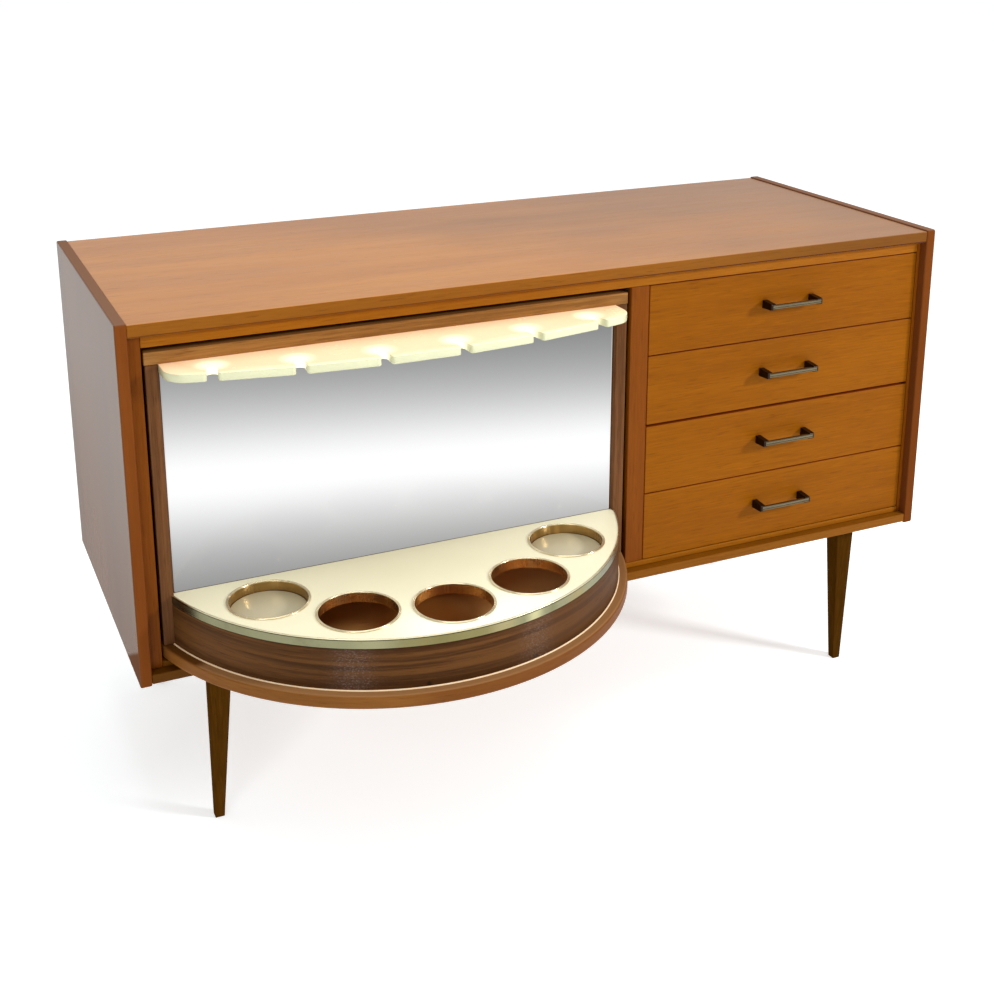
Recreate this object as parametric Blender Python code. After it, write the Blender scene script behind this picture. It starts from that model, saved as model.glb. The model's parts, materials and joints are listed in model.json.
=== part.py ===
"""Bar sideboard of teak veneer on four tapered legs.

Four drawers fill the right part. The left part is a drinks cabinet on a half-round
base, which turns half a turn about a vertical pivot: either its bar or its plain door
fills the opening. Lengths are in metres, +Z is up and the front faces -Y.

Inside the functions, Y is measured from the front edges of the side panels, and for
the turning cabinet X and Y are measured from its pivot.
"""

import math

import bmesh
import bpy
from mathutils import Matrix

# Clearances
FIT = 0.0003                    # between two pieces that are joined
OVERRUN = 0.003                 # by which a cutter passes the face that it opens
MERGE = 0.00001                 # points closer than this are one point

# Edges
EDGE_ROUND = 0.0010             # softened edge of a veneered board that shows
EDGE_STEPS = 2
INNER_ROUND = 0.0005            # softened edge of a board that is out of sight
INNER_STEPS = 1
SHARP_ANGLE = math.radians(35)

# Case
CASE_WIDTH = 1.200
PANEL_THICKNESS = 0.0145
PANEL_HEIGHT = 0.4712
PANEL_CORNER = 0.003
PANEL_CORNER_STEPS = 3
PANEL_ROUND = 0.0016
PANEL_DROP = 0.0025             # side panels hang this far below the bottom board
TOP_SINK = 0.0020               # top board lies this far below the panels' top edges
TOP_THICKNESS = 0.0165
BOTTOM_THICKNESS = 0.013
BOARD_SETBACK = 0.001           # top and bottom boards behind the panels' front edges
DIVIDER_THICKNESS = 0.015
BACK_THICKNESS = 0.005
BACK_INSET = 0.003              # back panel inside the panels' rear edges

# Face frame, recessed into the case
FRAME_SETBACK = 0.014
FRAME_THICKNESS = 0.010
LEFT_STILE_WIDTH = 0.0165
MIDDLE_STILE_WIDTH = 0.028
TOP_RAIL_HEIGHT = 0.017
BOTTOM_RAIL_HEIGHT = 0.0085

# Legs
LEG_LENGTH = 0.2397
LEG_TOP = 0.030
LEG_FOOT = 0.0125
LEG_ROUND = 0.0008
LEG_SIDE_INSET = 0.0915         # outer face of a leg's top from the case's side
LEG_END_INSET = 0.026           # outer face of a leg's top from the case's front or back
LEG_LEAN_OUT = 0.010            # foot's centre outside the top's centre, along the width
LEG_LEAN_IN = 0.005             # foot's centre inside the top's centre, along the depth

# Turning cabinet
BASE_RADIUS = 0.341
BASE_THICKNESS = 0.0175
BASE_ROUND = 0.0030
BASE_ROUND_STEPS = 3
BASE_GAP = 0.001                # base above the face frame's bottom rail
AXIS_SETBACK = 0.114            # pivot behind the panels' front edges
SWING_GAP = 0.0018              # base's rim to the stile's inner corner
REAR_SWING_GAP = 0.0035         # base's rim to the back panel, after half a turn
BOX_SETBACK = 0.018             # front edges of the box behind the panels' front edges
BOX_CORNER_INSET = 0.0007       # box's corners inside the base's rim
BOX_THICKNESS = 0.016
BOX_TOP_GAP = 0.0076            # box's top board below the face frame's top rail
BOX_TOP_LIP = 0.001             # top board wider than the box at each side
DOOR_GAP = 0.001                # door's lower edge above the base's underside
BASE_LEDGE = 0.0132             # base's rim outside the fascia
FASCIA_THICKNESS = 0.008
FASCIA_HEIGHT = 0.055
TRAY_THICKNESS = 0.012
BAND_THICKNESS = 0.0013
MIRROR_SETBACK = 0.006          # mirror behind the box's front edges
MIRROR_THICKNESS = 0.0047
MIRROR_SIDE_GAP = 0.0025
PARTITION_THICKNESS = 0.008
ARC_STEPS = 48

# Rings and dishes in the tray
CUP_COUNT = 5
CUP_MARGIN = 0.0147             # flanges inside the tray's round edge
CUP_PITCH = math.radians(26.4)
CUP_RADIUS = 0.049
CUP_WALL = 0.0015
CUP_FLANGE = 0.0020
CUP_LIP = 0.0015
CUP_LIP_ROUND = 0.0006
DISH_DEPTH = 0.013
DISH_FLOOR = 0.0015
CUP_STEPS = 32

# Glass rack
RACK_THICKNESS = 0.011
RACK_ARC = 1.165                # radius of its front edge
RACK_REACH = 0.086              # middle of its front edge in front of the box
RACK_CORNER = 0.030
RACK_ROUND = 0.0012
RACK_DEPTH_INSIDE = 0.050       # its back edge behind the box's front edges
RACK_ARC_STEPS = 30
RACK_CORNER_STEPS = 8
SLOT_COUNT = 6
SLOT_PITCH = 0.1045
SLOT_WIDTH = 0.0125
SLOT_LENGTH = 0.025
SLOT_STEPS = 8
WELL_RADIUS = 0.0245
WELL_DEPTH = 0.0015
WELL_SETBACK = 0.0315           # its centre behind the rack's front edge
WELL_STEPS = 24

# Lamp behind the rack
LAMP_RADIUS = 0.007
LAMP_END_GAP = 0.0405           # tube's ends to the box's sides
LAMP_GAP = 0.004                # tube behind the rack
LAMP_STEPS = 16
HOLDER_LENGTH = 0.018
HOLDER_DEPTH = 0.020
HOLDER_BELOW = 0.003            # holder's foot below the tube

# Pivot, bearing and gland
PIVOT_BORE = 0.005
PIVOT_WALL = 0.003
PIVOT_FLANGE = 0.020
PIVOT_FLANGE_THICKNESS = 0.002
PIVOT_NOTCH_WIDTH = 0.008       # notch at the back, through which the lamp's lead enters
PIVOT_NOTCH_HEIGHT = 0.009
BEARING_INNER = 0.055
BEARING_OUTER = 0.085
BEARING_GROOVE = 0.002
BEARING_RACE_SHARE = 1 / 3      # height of each race, of the whole bearing
BEARING_STEPS = 32
GLAND_BORE = 0.005
GLAND_WALL = 0.002
GLAND_FLANGE = 0.012
GLAND_FLANGE_THICKNESS = 0.0015
GLAND_TAIL = 0.002              # sleeve's end inside the case
GLAND_DROP = 0.005              # gland's flange below the top board
ROUND_STEPS = 24

# Drawers
DRAWER_COUNT = 4
DRAWER_FRONT_THICKNESS = 0.016
DRAWER_EDGE_GAP = 0.0012        # above the top drawer and below the bottom one
DRAWER_GAP = 0.0015
DRAWER_MIDDLE_GAP = 0.0035      # between the two upper and the two lower drawers
DRAWER_SIDE_GAP = 0.001
DRAWER_REAR_GAP = 0.0285
DRAWER_WALL = 0.012
DRAWER_WALL_HEIGHT = 0.080
DRAWER_BOTTOM_THICKNESS = 0.004
DRAWER_BOTTOM_RAISE = 0.006     # groove for the bottom above the walls' lower edges
DRAWER_BOTTOM_GROOVE = 0.005
RUNNER_REACH = 0.0055
RUNNER_HEIGHT = 0.016
RUNNER_SIDE_PLAY = 0.0008       # runner's tip to the bottom of its groove
RUNNER_PLAY = 0.0010            # groove taller than its runner
RUNNER_FRONT_GAP = 0.003        # runners behind the drawer fronts
RUNNER_REAR_GAP = 0.010
LEFT_RACK_THICKNESS = 0.006
RIGHT_RACK_THICKNESS = 0.005

# Drawer handles
HANDLE_LENGTH = 0.088
HANDLE_REACH = 0.024
HANDLE_RAISE = 0.003            # handle's centre above the middle of the front
POST_WIDTH = 0.0085
POST_HEIGHT = 0.0095
POST_ROUND = 0.0008
GRIP_HEIGHT = 0.007
GRIP_THICKNESS = 0.005
GRIP_END_INSET = 0.002          # grip's ends inside the posts' outer faces
GRIP_PROUD = 0.001              # grip in front of the posts

# Heights, from the floor up
BOARD_LOW = LEG_LENGTH + FIT
BOARD_TOP = BOARD_LOW + BOTTOM_THICKNESS
PANEL_LOW = BOARD_LOW - PANEL_DROP
PANEL_TOP = PANEL_LOW + PANEL_HEIGHT
TOP_HIGH = PANEL_TOP - TOP_SINK
TOP_LOW = TOP_HIGH - TOP_THICKNESS
OPENING_LOW = BOARD_TOP + BOTTOM_RAIL_HEIGHT
OPENING_HIGH = TOP_LOW - TOP_RAIL_HEIGHT
BASE_LOW = OPENING_LOW + BASE_GAP
BASE_HIGH = BASE_LOW + BASE_THICKNESS
TRAY_LOW = BASE_HIGH + FASCIA_HEIGHT
TRAY_HIGH = TRAY_LOW + TRAY_THICKNESS
BOX_HIGH = OPENING_HIGH - BOX_TOP_GAP
BOX_TOP_LOW = BOX_HIGH - BOX_THICKNESS
RACK_HIGH = BOX_TOP_LOW - FIT
RACK_LOW = RACK_HIGH - RACK_THICKNESS

# Places along the depth, from the panels' front edges
FRAME_BACK = FRAME_SETBACK + FRAME_THICKNESS
BACK_FRONT = AXIS_SETBACK + BASE_RADIUS + REAR_SWING_GAP
CASE_DEPTH = BACK_FRONT + BACK_THICKNESS + BACK_INSET
FRONT_Y = (BASE_RADIUS - AXIS_SETBACK - CASE_DEPTH) / 2
DRAWER_FRONT_BACK = FRAME_SETBACK + DRAWER_FRONT_THICKNESS
DRAWER_END = BACK_FRONT - DRAWER_REAR_GAP
RUNNER_FRONT = DRAWER_FRONT_BACK + RUNNER_FRONT_GAP
RACK_REAR = BACK_FRONT - RUNNER_REAR_GAP

# Places along the width, from the middle of the case
INNER_X = CASE_WIDTH / 2 - PANEL_THICKNESS
OPENING_HALF = math.sqrt((BASE_RADIUS + SWING_GAP) ** 2 - (AXIS_SETBACK - FRAME_BACK) ** 2)
OPENING_LEFT = LEFT_STILE_WIDTH - INNER_X
OPENING_RIGHT = OPENING_LEFT + 2 * OPENING_HALF
AXIS_X = OPENING_LEFT + OPENING_HALF
STILE_RIGHT = OPENING_RIGHT + MIDDLE_STILE_WIDTH
STRIP_LEFT = INNER_X - RIGHT_RACK_THICKNESS

# Places in the turning cabinet, from its pivot
BOX_FRONT = BOX_SETBACK - AXIS_SETBACK
BOX_HALF = math.sqrt((BASE_RADIUS - BOX_CORNER_INSET) ** 2 - BOX_FRONT ** 2)
BOX_INNER = BOX_HALF - BOX_THICKNESS
DOOR_FRONT = -BOX_FRONT - BOX_THICKNESS
FASCIA_RADIUS = BASE_RADIUS - BASE_LEDGE
TRAY_RADIUS = FASCIA_RADIUS - BAND_THICKNESS - FIT
MIRROR_FRONT = BOX_FRONT + MIRROR_SETBACK
PARTITION_FRONT = MIRROR_FRONT + MIRROR_THICKNESS + FIT
PARTITION_BACK = PARTITION_FRONT + PARTITION_THICKNESS
RACK_BACK = BOX_FRONT + RACK_DEPTH_INSIDE
CUP_OUTER = CUP_RADIUS + CUP_WALL
CUP_CIRCLE = TRAY_RADIUS - CUP_MARGIN - CUP_OUTER - CUP_FLANGE
LAMP_HALF = BOX_INNER - LAMP_END_GAP
PIVOT_OUTER = PIVOT_BORE + PIVOT_WALL

# Sizes of a drawer
DRAWER_HEIGHT = (OPENING_HIGH - OPENING_LOW - 2 * DRAWER_EDGE_GAP
                 - (DRAWER_COUNT - 2) * DRAWER_GAP - DRAWER_MIDDLE_GAP) / DRAWER_COUNT
DRAWER_LEFT = STILE_RIGHT + DRAWER_SIDE_GAP
DRAWER_RIGHT = STRIP_LEFT - DRAWER_SIDE_GAP
WALL_LEFT = STILE_RIGHT + FIT + LEFT_RACK_THICKNESS + DRAWER_SIDE_GAP
WALL_LOW = (DRAWER_HEIGHT - DRAWER_WALL_HEIGHT) / 2
WALL_HIGH = WALL_LOW + DRAWER_WALL_HEIGHT
GROOVE_HEIGHT = RUNNER_HEIGHT + RUNNER_PLAY
GROOVE_LOW = (DRAWER_HEIGHT - GROOVE_HEIGHT) / 2
GROOVE_HIGH = GROOVE_LOW + GROOVE_HEIGHT
GROOVE_DEPTH = RUNNER_REACH - DRAWER_SIDE_GAP + RUNNER_SIDE_PLAY
BOTTOM_LOW = WALL_LOW + DRAWER_BOTTOM_RAISE
BOTTOM_HIGH = BOTTOM_LOW + DRAWER_BOTTOM_THICKNESS

# Finishes: colour, roughness, metallic
FINISHES = {
    "teak": ((0.33, 0.12, 0.022), 0.42, 0.0),
    "teak_frame": ((0.26, 0.085, 0.018), 0.45, 0.0),
    "teak_top": ((0.55, 0.27, 0.14), 0.38, 0.0),
    "walnut": ((0.16, 0.065, 0.026), 0.45, 0.0),
    "leg_wood": ((0.075, 0.026, 0.008), 0.40, 0.0),
    "beech": ((0.55, 0.36, 0.19), 0.60, 0.0),
    "hardboard": ((0.28, 0.16, 0.08), 0.80, 0.0),
    "cream_laminate": ((0.86, 0.78, 0.52), 0.30, 0.0),
    "cream_acrylic": ((0.90, 0.82, 0.56), 0.25, 0.0),
    "brass": ((0.60, 0.48, 0.22), 0.28, 1.0),
    "bronze": ((0.07, 0.05, 0.04), 0.40, 1.0),
    "silvered_glass": ((0.80, 0.80, 0.82), 0.03, 1.0),
    "lamp_glass": ((0.95, 0.94, 0.88), 0.30, 0.0),
    "steel": ((0.45, 0.45, 0.46), 0.35, 1.0),
    "black_plastic": ((0.02, 0.02, 0.02), 0.50, 0.0),
}


def clear_scene():
    """Empty the scene."""
    for thing in list(bpy.data.objects):
        bpy.data.objects.remove(thing, do_unlink=True)


def anchor(name, place, parent=None):
    """Empty that other objects are placed from."""
    point = bpy.data.objects.new(name, None)
    bpy.context.collection.objects.link(point)
    point.location = place
    point.parent = parent
    return point


def paint(piece, finish):
    """Give a piece a material of its own."""
    colour, roughness, metallic = FINISHES[finish]
    surface = bpy.data.materials.new(f"{piece.name}_{finish}")
    surface.use_nodes = True
    shader = surface.node_tree.nodes["Principled BSDF"]
    shader.inputs["Base Color"].default_value = (*colour, 1)
    shader.inputs["Roughness"].default_value = roughness
    shader.inputs["Metallic"].default_value = metallic
    piece.data.materials.append(surface)


def add_piece(name, shape, finish, parent, place=(0, 0, 0)):
    """Object from a bmesh, painted and placed under its parent."""
    mesh = bpy.data.meshes.new(name)
    shape.to_mesh(mesh)
    shape.free()
    mesh.shade_smooth()
    mesh.set_sharp_from_angle(angle=SHARP_ANGLE)
    piece = bpy.data.objects.new(name, mesh)
    bpy.context.collection.objects.link(piece)
    piece.location = place
    piece.parent = parent
    if finish:
        paint(piece, finish)
    return piece


def add_guide(name, shape, parent, place=(0, 0, 0)):
    """Solid that only cuts or joins another piece."""
    guide = add_piece(name, shape, None, parent, place)
    guide.hide_render = True
    guide.display_type = "WIRE"
    return guide


def soften(piece, width=EDGE_ROUND, steps=EDGE_STEPS):
    """Round a piece's sharp edges."""
    rounding = piece.modifiers.new("Softened edges", "BEVEL")
    rounding.width = width
    rounding.segments = steps
    rounding.limit_method = "ANGLE"
    rounding.angle_limit = SHARP_ANGLE


def combine(piece, guide, operation):
    """Cut a guide out of a piece, or join it on."""
    step = piece.modifiers.new(guide.name, "BOOLEAN")
    step.operation = operation
    step.solver = "EXACT"
    step.object = guide


def block(low, high):
    """Bmesh of a block between two corners."""
    size = [b - a for a, b in zip(low, high)]
    middle = [(a + b) / 2 for a, b in zip(low, high)]
    shape = bmesh.new()
    bmesh.ops.create_cube(shape, size=1, matrix=Matrix.LocRotScale(middle, None, size))
    return shape


def merged(shapes):
    """One bmesh that holds several closed shapes."""
    whole = bmesh.new()
    for shape in shapes:
        mesh = bpy.data.meshes.new("shape")
        shape.to_mesh(mesh)
        shape.free()
        whole.from_mesh(mesh)
        bpy.data.meshes.remove(mesh)
    return whole


def prism(outline, along, low, high):
    """Bmesh of a flat outline drawn out along X, Y or Z."""
    axis = "XYZ".index(along)
    corners = []
    for point in outline:
        spot = list(point)
        spot.insert(axis, low)
        corners.append(spot)
    shape = bmesh.new()
    face = shape.faces.new([shape.verts.new(spot) for spot in corners])
    drawn = bmesh.ops.extrude_face_region(shape, geom=[face])
    far = [item for item in drawn["geom"] if isinstance(item, bmesh.types.BMVert)]
    travel = [0, 0, 0]
    travel[axis] = high - low
    bmesh.ops.translate(shape, verts=far, vec=travel)
    bmesh.ops.recalc_face_normals(shape, faces=shape.faces)
    return shape


def turned(profile, steps):
    """Bmesh of a closed profile of radii and heights, turned about Z."""
    shape = bmesh.new()
    points = [shape.verts.new((radius, 0, height)) for radius, height in profile]
    lines = [shape.edges.new(pair) for pair in zip(points, points[1:])]
    if profile[0][0] > 0:
        lines.append(shape.edges.new((points[-1], points[0])))
    bmesh.ops.spin(shape, geom=points + lines, cent=(0, 0, 0), axis=(0, 0, 1),
                   angle=math.tau, steps=steps, use_merge=True)
    bmesh.ops.remove_doubles(shape, verts=shape.verts, dist=MERGE)
    bmesh.ops.recalc_face_normals(shape, faces=shape.faces)
    return shape


def arc(radius, start, end, steps, centre=(0, 0)):
    """Points of an arc, both ends included, with angles in radians."""
    angles = [start + (end - start) * step / steps for step in range(steps + 1)]
    return [(centre[0] + radius * math.cos(a), centre[1] + radius * math.sin(a)) for a in angles]


def front_arc(radius, chord):
    """Arc about the pivot, through the front, that ends on the line Y = chord."""
    lift = math.asin(chord / radius)
    return arc(radius, lift, -math.pi - lift, ARC_STEPS)


def rounded_rectangle(low, high, radius, steps):
    """Outline of a rectangle with round corners."""
    points = []
    corners = ((high[0] - radius, high[1] - radius), (low[0] + radius, high[1] - radius),
               (low[0] + radius, low[1] + radius), (high[0] - radius, low[1] + radius))
    for quarter, centre in enumerate(corners):
        start = quarter * math.pi / 2
        points += arc(radius, start, start + math.pi / 2, steps, centre)
    return points


def cylinder(radius, low, high, steps, centre=(0, 0)):
    """Bmesh of an upright cylinder."""
    circle = arc(radius, 0, math.tau, steps, centre)[:-1]
    return prism(circle, "Z", low, high)


def make_side_panel(name, side, case):
    """Side panel, to the left or right by the sign of side."""
    outline = rounded_rectangle((0, PANEL_LOW), (CASE_DEPTH, PANEL_TOP), PANEL_CORNER,
                                PANEL_CORNER_STEPS)
    faces = sorted((side * INNER_X, side * CASE_WIDTH / 2))
    panel = add_piece(name, prism(outline, "X", *faces), "teak_frame", case)
    soften(panel, PANEL_ROUND)


def make_board(name, low, high, finish, parent, width=EDGE_ROUND, steps=EDGE_STEPS):
    """Board between two corners, with softened edges."""
    board = add_piece(name, block(low, high), finish, parent)
    soften(board, width, steps)
    return board


def make_inner_board(name, low, high, finish, parent):
    """Board that is out of sight."""
    return make_board(name, low, high, finish, parent, INNER_ROUND, INNER_STEPS)


def make_case(case):
    """Side panels, top, bottom and the upright between bar and drawers."""
    make_side_panel("side_panel_left", -1, case)
    make_side_panel("side_panel_right", 1, case)
    reach = INNER_X - FIT
    make_board("top_board", (-reach, BOARD_SETBACK, TOP_LOW),
               (reach, CASE_DEPTH - BOARD_SETBACK, TOP_HIGH), "teak_top", case)
    make_board("bottom_board", (-reach, BOARD_SETBACK, BOARD_LOW),
               (reach, BACK_FRONT - FIT, BOARD_TOP), "teak_frame", case)
    make_inner_board("divider_panel",
                     (STILE_RIGHT - DIVIDER_THICKNESS, FRAME_BACK + FIT, BOARD_TOP + FIT),
                     (STILE_RIGHT, BACK_FRONT - FIT, TOP_LOW - FIT), "beech", case)


def make_back_panel(case):
    """Thin back panel with the hole for the cable gland."""
    reach = INNER_X - FIT
    panel = add_piece("back_panel", block((-reach, BACK_FRONT, BOARD_LOW),
                                          (reach, BACK_FRONT + BACK_THICKNESS, TOP_LOW - FIT)),
                      "hardboard", case)
    hole = cylinder(GLAND_BORE + GLAND_WALL + FIT, -OVERRUN, BACK_THICKNESS + OVERRUN, ROUND_STEPS)
    cutter = add_guide("gland_hole_cutter", hole, case, (AXIS_X, BACK_FRONT, gland_height()))
    cutter.rotation_euler.x = -math.pi / 2
    combine(panel, cutter, "DIFFERENCE")


def gland_height():
    """Height of the gland's centre."""
    return TOP_LOW - GLAND_FLANGE - GLAND_DROP


def make_cable_gland(case):
    """Grommet in the back panel, through which the lamp's lead leaves."""
    outer = GLAND_BORE + GLAND_WALL
    inside = -BACK_THICKNESS - GLAND_TAIL
    profile = [(GLAND_BORE, inside), (outer, inside), (outer, FIT), (GLAND_FLANGE, FIT),
               (GLAND_FLANGE, FIT + GLAND_FLANGE_THICKNESS / 2),
               (GLAND_FLANGE - GLAND_FLANGE_THICKNESS / 2, FIT + GLAND_FLANGE_THICKNESS),
               (GLAND_BORE, FIT + GLAND_FLANGE_THICKNESS)]
    gland = add_piece("cable_gland", turned(profile, ROUND_STEPS), "black_plastic", case,
                      (AXIS_X, BACK_FRONT + BACK_THICKNESS, gland_height()))
    gland.rotation_euler.x = -math.pi / 2


def make_face_frame(case):
    """Stiles and rails of the recessed face frame."""
    front, back = FRAME_SETBACK, FRAME_BACK
    left = OPENING_LEFT + FIT
    right = STRIP_LEFT - FIT
    make_board("face_stile_left", (FIT - INNER_X, front, BOARD_TOP + FIT),
               (OPENING_LEFT, back, TOP_LOW - FIT), "teak_frame", case)
    make_board("face_stile_middle", (OPENING_RIGHT, front, OPENING_LOW + FIT),
               (STILE_RIGHT, back, OPENING_HIGH - FIT), "teak_frame", case)
    make_board("face_rail_top", (left, front, OPENING_HIGH),
               (right, back, TOP_LOW - FIT), "teak_frame", case)
    make_board("face_rail_bottom", (left, front, BOARD_TOP + FIT),
               (right, back, OPENING_LOW), "teak_frame", case)


def make_leg(name, side, end, case):
    """Square tapered leg; side and end are -1 or 1, left or right and front or back."""
    top_x = side * (CASE_WIDTH / 2 - LEG_SIDE_INSET - LEG_TOP / 2)
    foot_x = top_x + side * LEG_LEAN_OUT
    from_middle = CASE_DEPTH / 2 - LEG_END_INSET - LEG_TOP / 2
    top_y = CASE_DEPTH / 2 + end * from_middle
    foot_y = top_y - end * LEG_LEAN_IN
    shape = bmesh.new()
    for x, y, z, width in ((foot_x, foot_y, 0, LEG_FOOT), (top_x, top_y, LEG_LENGTH, LEG_TOP)):
        corners = ((-1, -1), (1, -1), (1, 1), (-1, 1))
        ring = [shape.verts.new((x + a * width / 2, y + b * width / 2, z)) for a, b in corners]
        shape.faces.new(ring)
    bmesh.ops.bridge_loops(shape, edges=shape.edges)
    bmesh.ops.recalc_face_normals(shape, faces=shape.faces)
    leg = add_piece(name, shape, "leg_wood", case)
    soften(leg, LEG_ROUND)


def make_legs(case):
    """Four legs."""
    for depth, end in (("front", -1), ("back", 1)):
        for width, side in (("left", -1), ("right", 1)):
            make_leg(f"leg_{depth}_{width}", side, end, case)


def drawer_low(number):
    """Height of a drawer front's lower edge; number 1 is the top drawer."""
    below = DRAWER_COUNT - number
    gaps = below * DRAWER_GAP
    if below >= DRAWER_COUNT / 2:
        gaps += DRAWER_MIDDLE_GAP - DRAWER_GAP
    return OPENING_LOW + DRAWER_EDGE_GAP + below * DRAWER_HEIGHT + gaps


def make_runner_rack(name, wall, side, thickness, front, case):
    """Panel with one runner per drawer; side is the way that the runners point."""
    low, high = BOARD_TOP + FIT, TOP_LOW - FIT
    face = wall + side * thickness
    tip = face + side * RUNNER_REACH
    outline = [(wall, low), (face, low)]
    for number in range(DRAWER_COUNT, 0, -1):
        runner_high = drawer_low(number) + GROOVE_HIGH - FIT
        runner_low = runner_high - RUNNER_HEIGHT
        outline += [(face, runner_low), (tip, runner_low), (tip, runner_high), (face, runner_high)]
    outline += [(face, high), (wall, high)]
    rack = add_piece(name, prism(outline, "Y", front, RACK_REAR), "teak_frame", case)
    if front < RUNNER_FRONT:
        near, far = sorted((face, tip + side * OVERRUN))
        clear = block((near, front - OVERRUN, low - OVERRUN), (far, RUNNER_FRONT, high + OVERRUN))
        combine(rack, add_guide(f"{name}_cutter", clear, case), "DIFFERENCE")


def make_bearing(pivot):
    """Ring bearing between the bottom board and the turning base."""
    height = BASE_LOW - BOARD_TOP - 2 * FIT
    low, high = height * BEARING_RACE_SHARE, height * (1 - BEARING_RACE_SHARE)
    inner, outer = BEARING_INNER, BEARING_OUTER
    profile = [(inner, 0), (outer, 0), (outer, low), (outer - BEARING_GROOVE, low),
               (outer - BEARING_GROOVE, high), (outer, high), (outer, height), (inner, height),
               (inner, high), (inner + BEARING_GROOVE, high), (inner + BEARING_GROOVE, low),
               (inner, low)]
    add_piece("turntable_bearing", turned(profile, BEARING_STEPS), "steel", pivot,
              (0, 0, BOARD_TOP + FIT))


def make_pivot_tube(pivot):
    """Hollow upper pivot, flanged to the top board's underside."""
    height = TOP_LOW - FIT - BOX_TOP_LOW
    shoulder = height - PIVOT_FLANGE_THICKNESS
    profile = [(PIVOT_BORE, 0), (PIVOT_OUTER, 0), (PIVOT_OUTER, shoulder),
               (PIVOT_FLANGE, shoulder), (PIVOT_FLANGE, height), (PIVOT_BORE, height)]
    tube = add_piece("pivot_tube", turned(profile, ROUND_STEPS), "steel", pivot, (0, 0, BOX_TOP_LOW))
    half = PIVOT_NOTCH_WIDTH / 2
    notch = block((-half, 0, height - PIVOT_NOTCH_HEIGHT),
                  (half, PIVOT_FLANGE + OVERRUN, height + OVERRUN))
    combine(tube, add_guide("pivot_notch_cutter", notch, pivot, (0, 0, BOX_TOP_LOW)), "DIFFERENCE")


def make_bar_base(pivot):
    """Half-round base board with a rounded rim."""
    outline = front_arc(BASE_RADIUS, DOOR_FRONT - FIT)
    base = add_piece("bar_base", prism(outline, "Z", BASE_LOW, BASE_HIGH), "teak_frame", pivot)
    soften(base, BASE_ROUND, BASE_ROUND_STEPS)


def make_bar_box(pivot):
    """Sides, top and door of the turning cabinet."""
    back = DOOR_FRONT - FIT
    low = BASE_HIGH + FIT
    make_board("bar_side_left", (-BOX_HALF, BOX_FRONT, low),
               (-BOX_INNER, back, BOX_TOP_LOW - FIT), "walnut", pivot)
    make_board("bar_side_right", (BOX_INNER, BOX_FRONT, low),
               (BOX_HALF, back, BOX_TOP_LOW - FIT), "walnut", pivot)
    top = make_board("bar_top", (-BOX_HALF - BOX_TOP_LIP, BOX_FRONT, BOX_TOP_LOW),
                     (BOX_HALF + BOX_TOP_LIP, back, BOX_HIGH), "walnut", pivot)
    hole = cylinder(PIVOT_OUTER + FIT, BOX_TOP_LOW - OVERRUN, BOX_HIGH + OVERRUN, ROUND_STEPS)
    combine(top, add_guide("pivot_hole_cutter", hole, pivot), "DIFFERENCE")
    make_board("bar_door", (-BOX_HALF, DOOR_FRONT, BASE_LOW + DOOR_GAP),
               (BOX_HALF, DOOR_FRONT + BOX_THICKNESS, BOX_HIGH), "teak", pivot)


def make_mirror(pivot):
    """Mirror pane and the board that carries it."""
    reach = BOX_INNER - FIT
    make_inner_board("bar_partition", (-reach, PARTITION_FRONT, BASE_HIGH + FIT),
                     (reach, PARTITION_BACK, RACK_LOW - FIT), "walnut", pivot)
    half = BOX_INNER - MIRROR_SIDE_GAP
    make_inner_board("bar_mirror", (-half, MIRROR_FRONT, TRAY_HIGH + FIT),
                     (half, MIRROR_FRONT + MIRROR_THICKNESS, RACK_LOW - FIT),
                     "silvered_glass", pivot)


def curved_strip(outer, inner, chord):
    """Outline of a strip bent round the pivot."""
    return front_arc(outer, chord) + front_arc(inner, chord)[::-1]


def make_fascia(pivot):
    """Bent front of the drum."""
    outline = curved_strip(FASCIA_RADIUS, FASCIA_RADIUS - FASCIA_THICKNESS, BOX_FRONT - FIT)
    add_piece("bar_fascia", prism(outline, "Z", BASE_HIGH + FIT, TRAY_LOW - FIT), "walnut", pivot)


def make_edge_band(pivot):
    """Brass band round the tray."""
    outline = curved_strip(FASCIA_RADIUS, TRAY_RADIUS + FIT, BOX_FRONT - FIT)
    add_piece("bar_edge_band", prism(outline, "Z", TRAY_LOW, TRAY_HIGH), "brass", pivot)


def cup_centre(number):
    """Centre of a ring in the tray; number 1 is the leftmost."""
    angle = -math.pi / 2 + (number - (CUP_COUNT + 1) / 2) * CUP_PITCH
    return CUP_CIRCLE * math.cos(angle), CUP_CIRCLE * math.sin(angle)


def make_tray(pivot):
    """Laminate tray: a round front, and a tongue that reaches the mirror."""
    shoulder = BOX_FRONT - FIT
    tongue = BOX_INNER - FIT
    back = MIRROR_FRONT - FIT
    outline = front_arc(TRAY_RADIUS, shoulder)
    outline += [(-tongue, shoulder), (-tongue, back), (tongue, back), (tongue, shoulder)]
    tray = add_piece("bar_tray", prism(outline, "Z", TRAY_LOW, TRAY_HIGH), "cream_laminate", pivot)
    holes = [cylinder(CUP_OUTER + FIT, TRAY_LOW - OVERRUN, TRAY_HIGH + OVERRUN, CUP_STEPS,
                      cup_centre(number)) for number in range(1, CUP_COUNT + 1)]
    combine(tray, add_guide("cup_hole_cutter", merged(holes), pivot), "DIFFERENCE")


def cup_rim():
    """Profile of a cup's outside and lip, from the tray's underside to the bore's edge."""
    flange = CUP_OUTER + CUP_FLANGE
    shoulder = CUP_LIP - CUP_LIP_ROUND
    return [(CUP_OUTER, FIT), (flange, FIT), (flange, shoulder),
            (flange - CUP_LIP_ROUND, CUP_LIP), (CUP_RADIUS + CUP_LIP_ROUND, CUP_LIP),
            (CUP_RADIUS, shoulder)]


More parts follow.
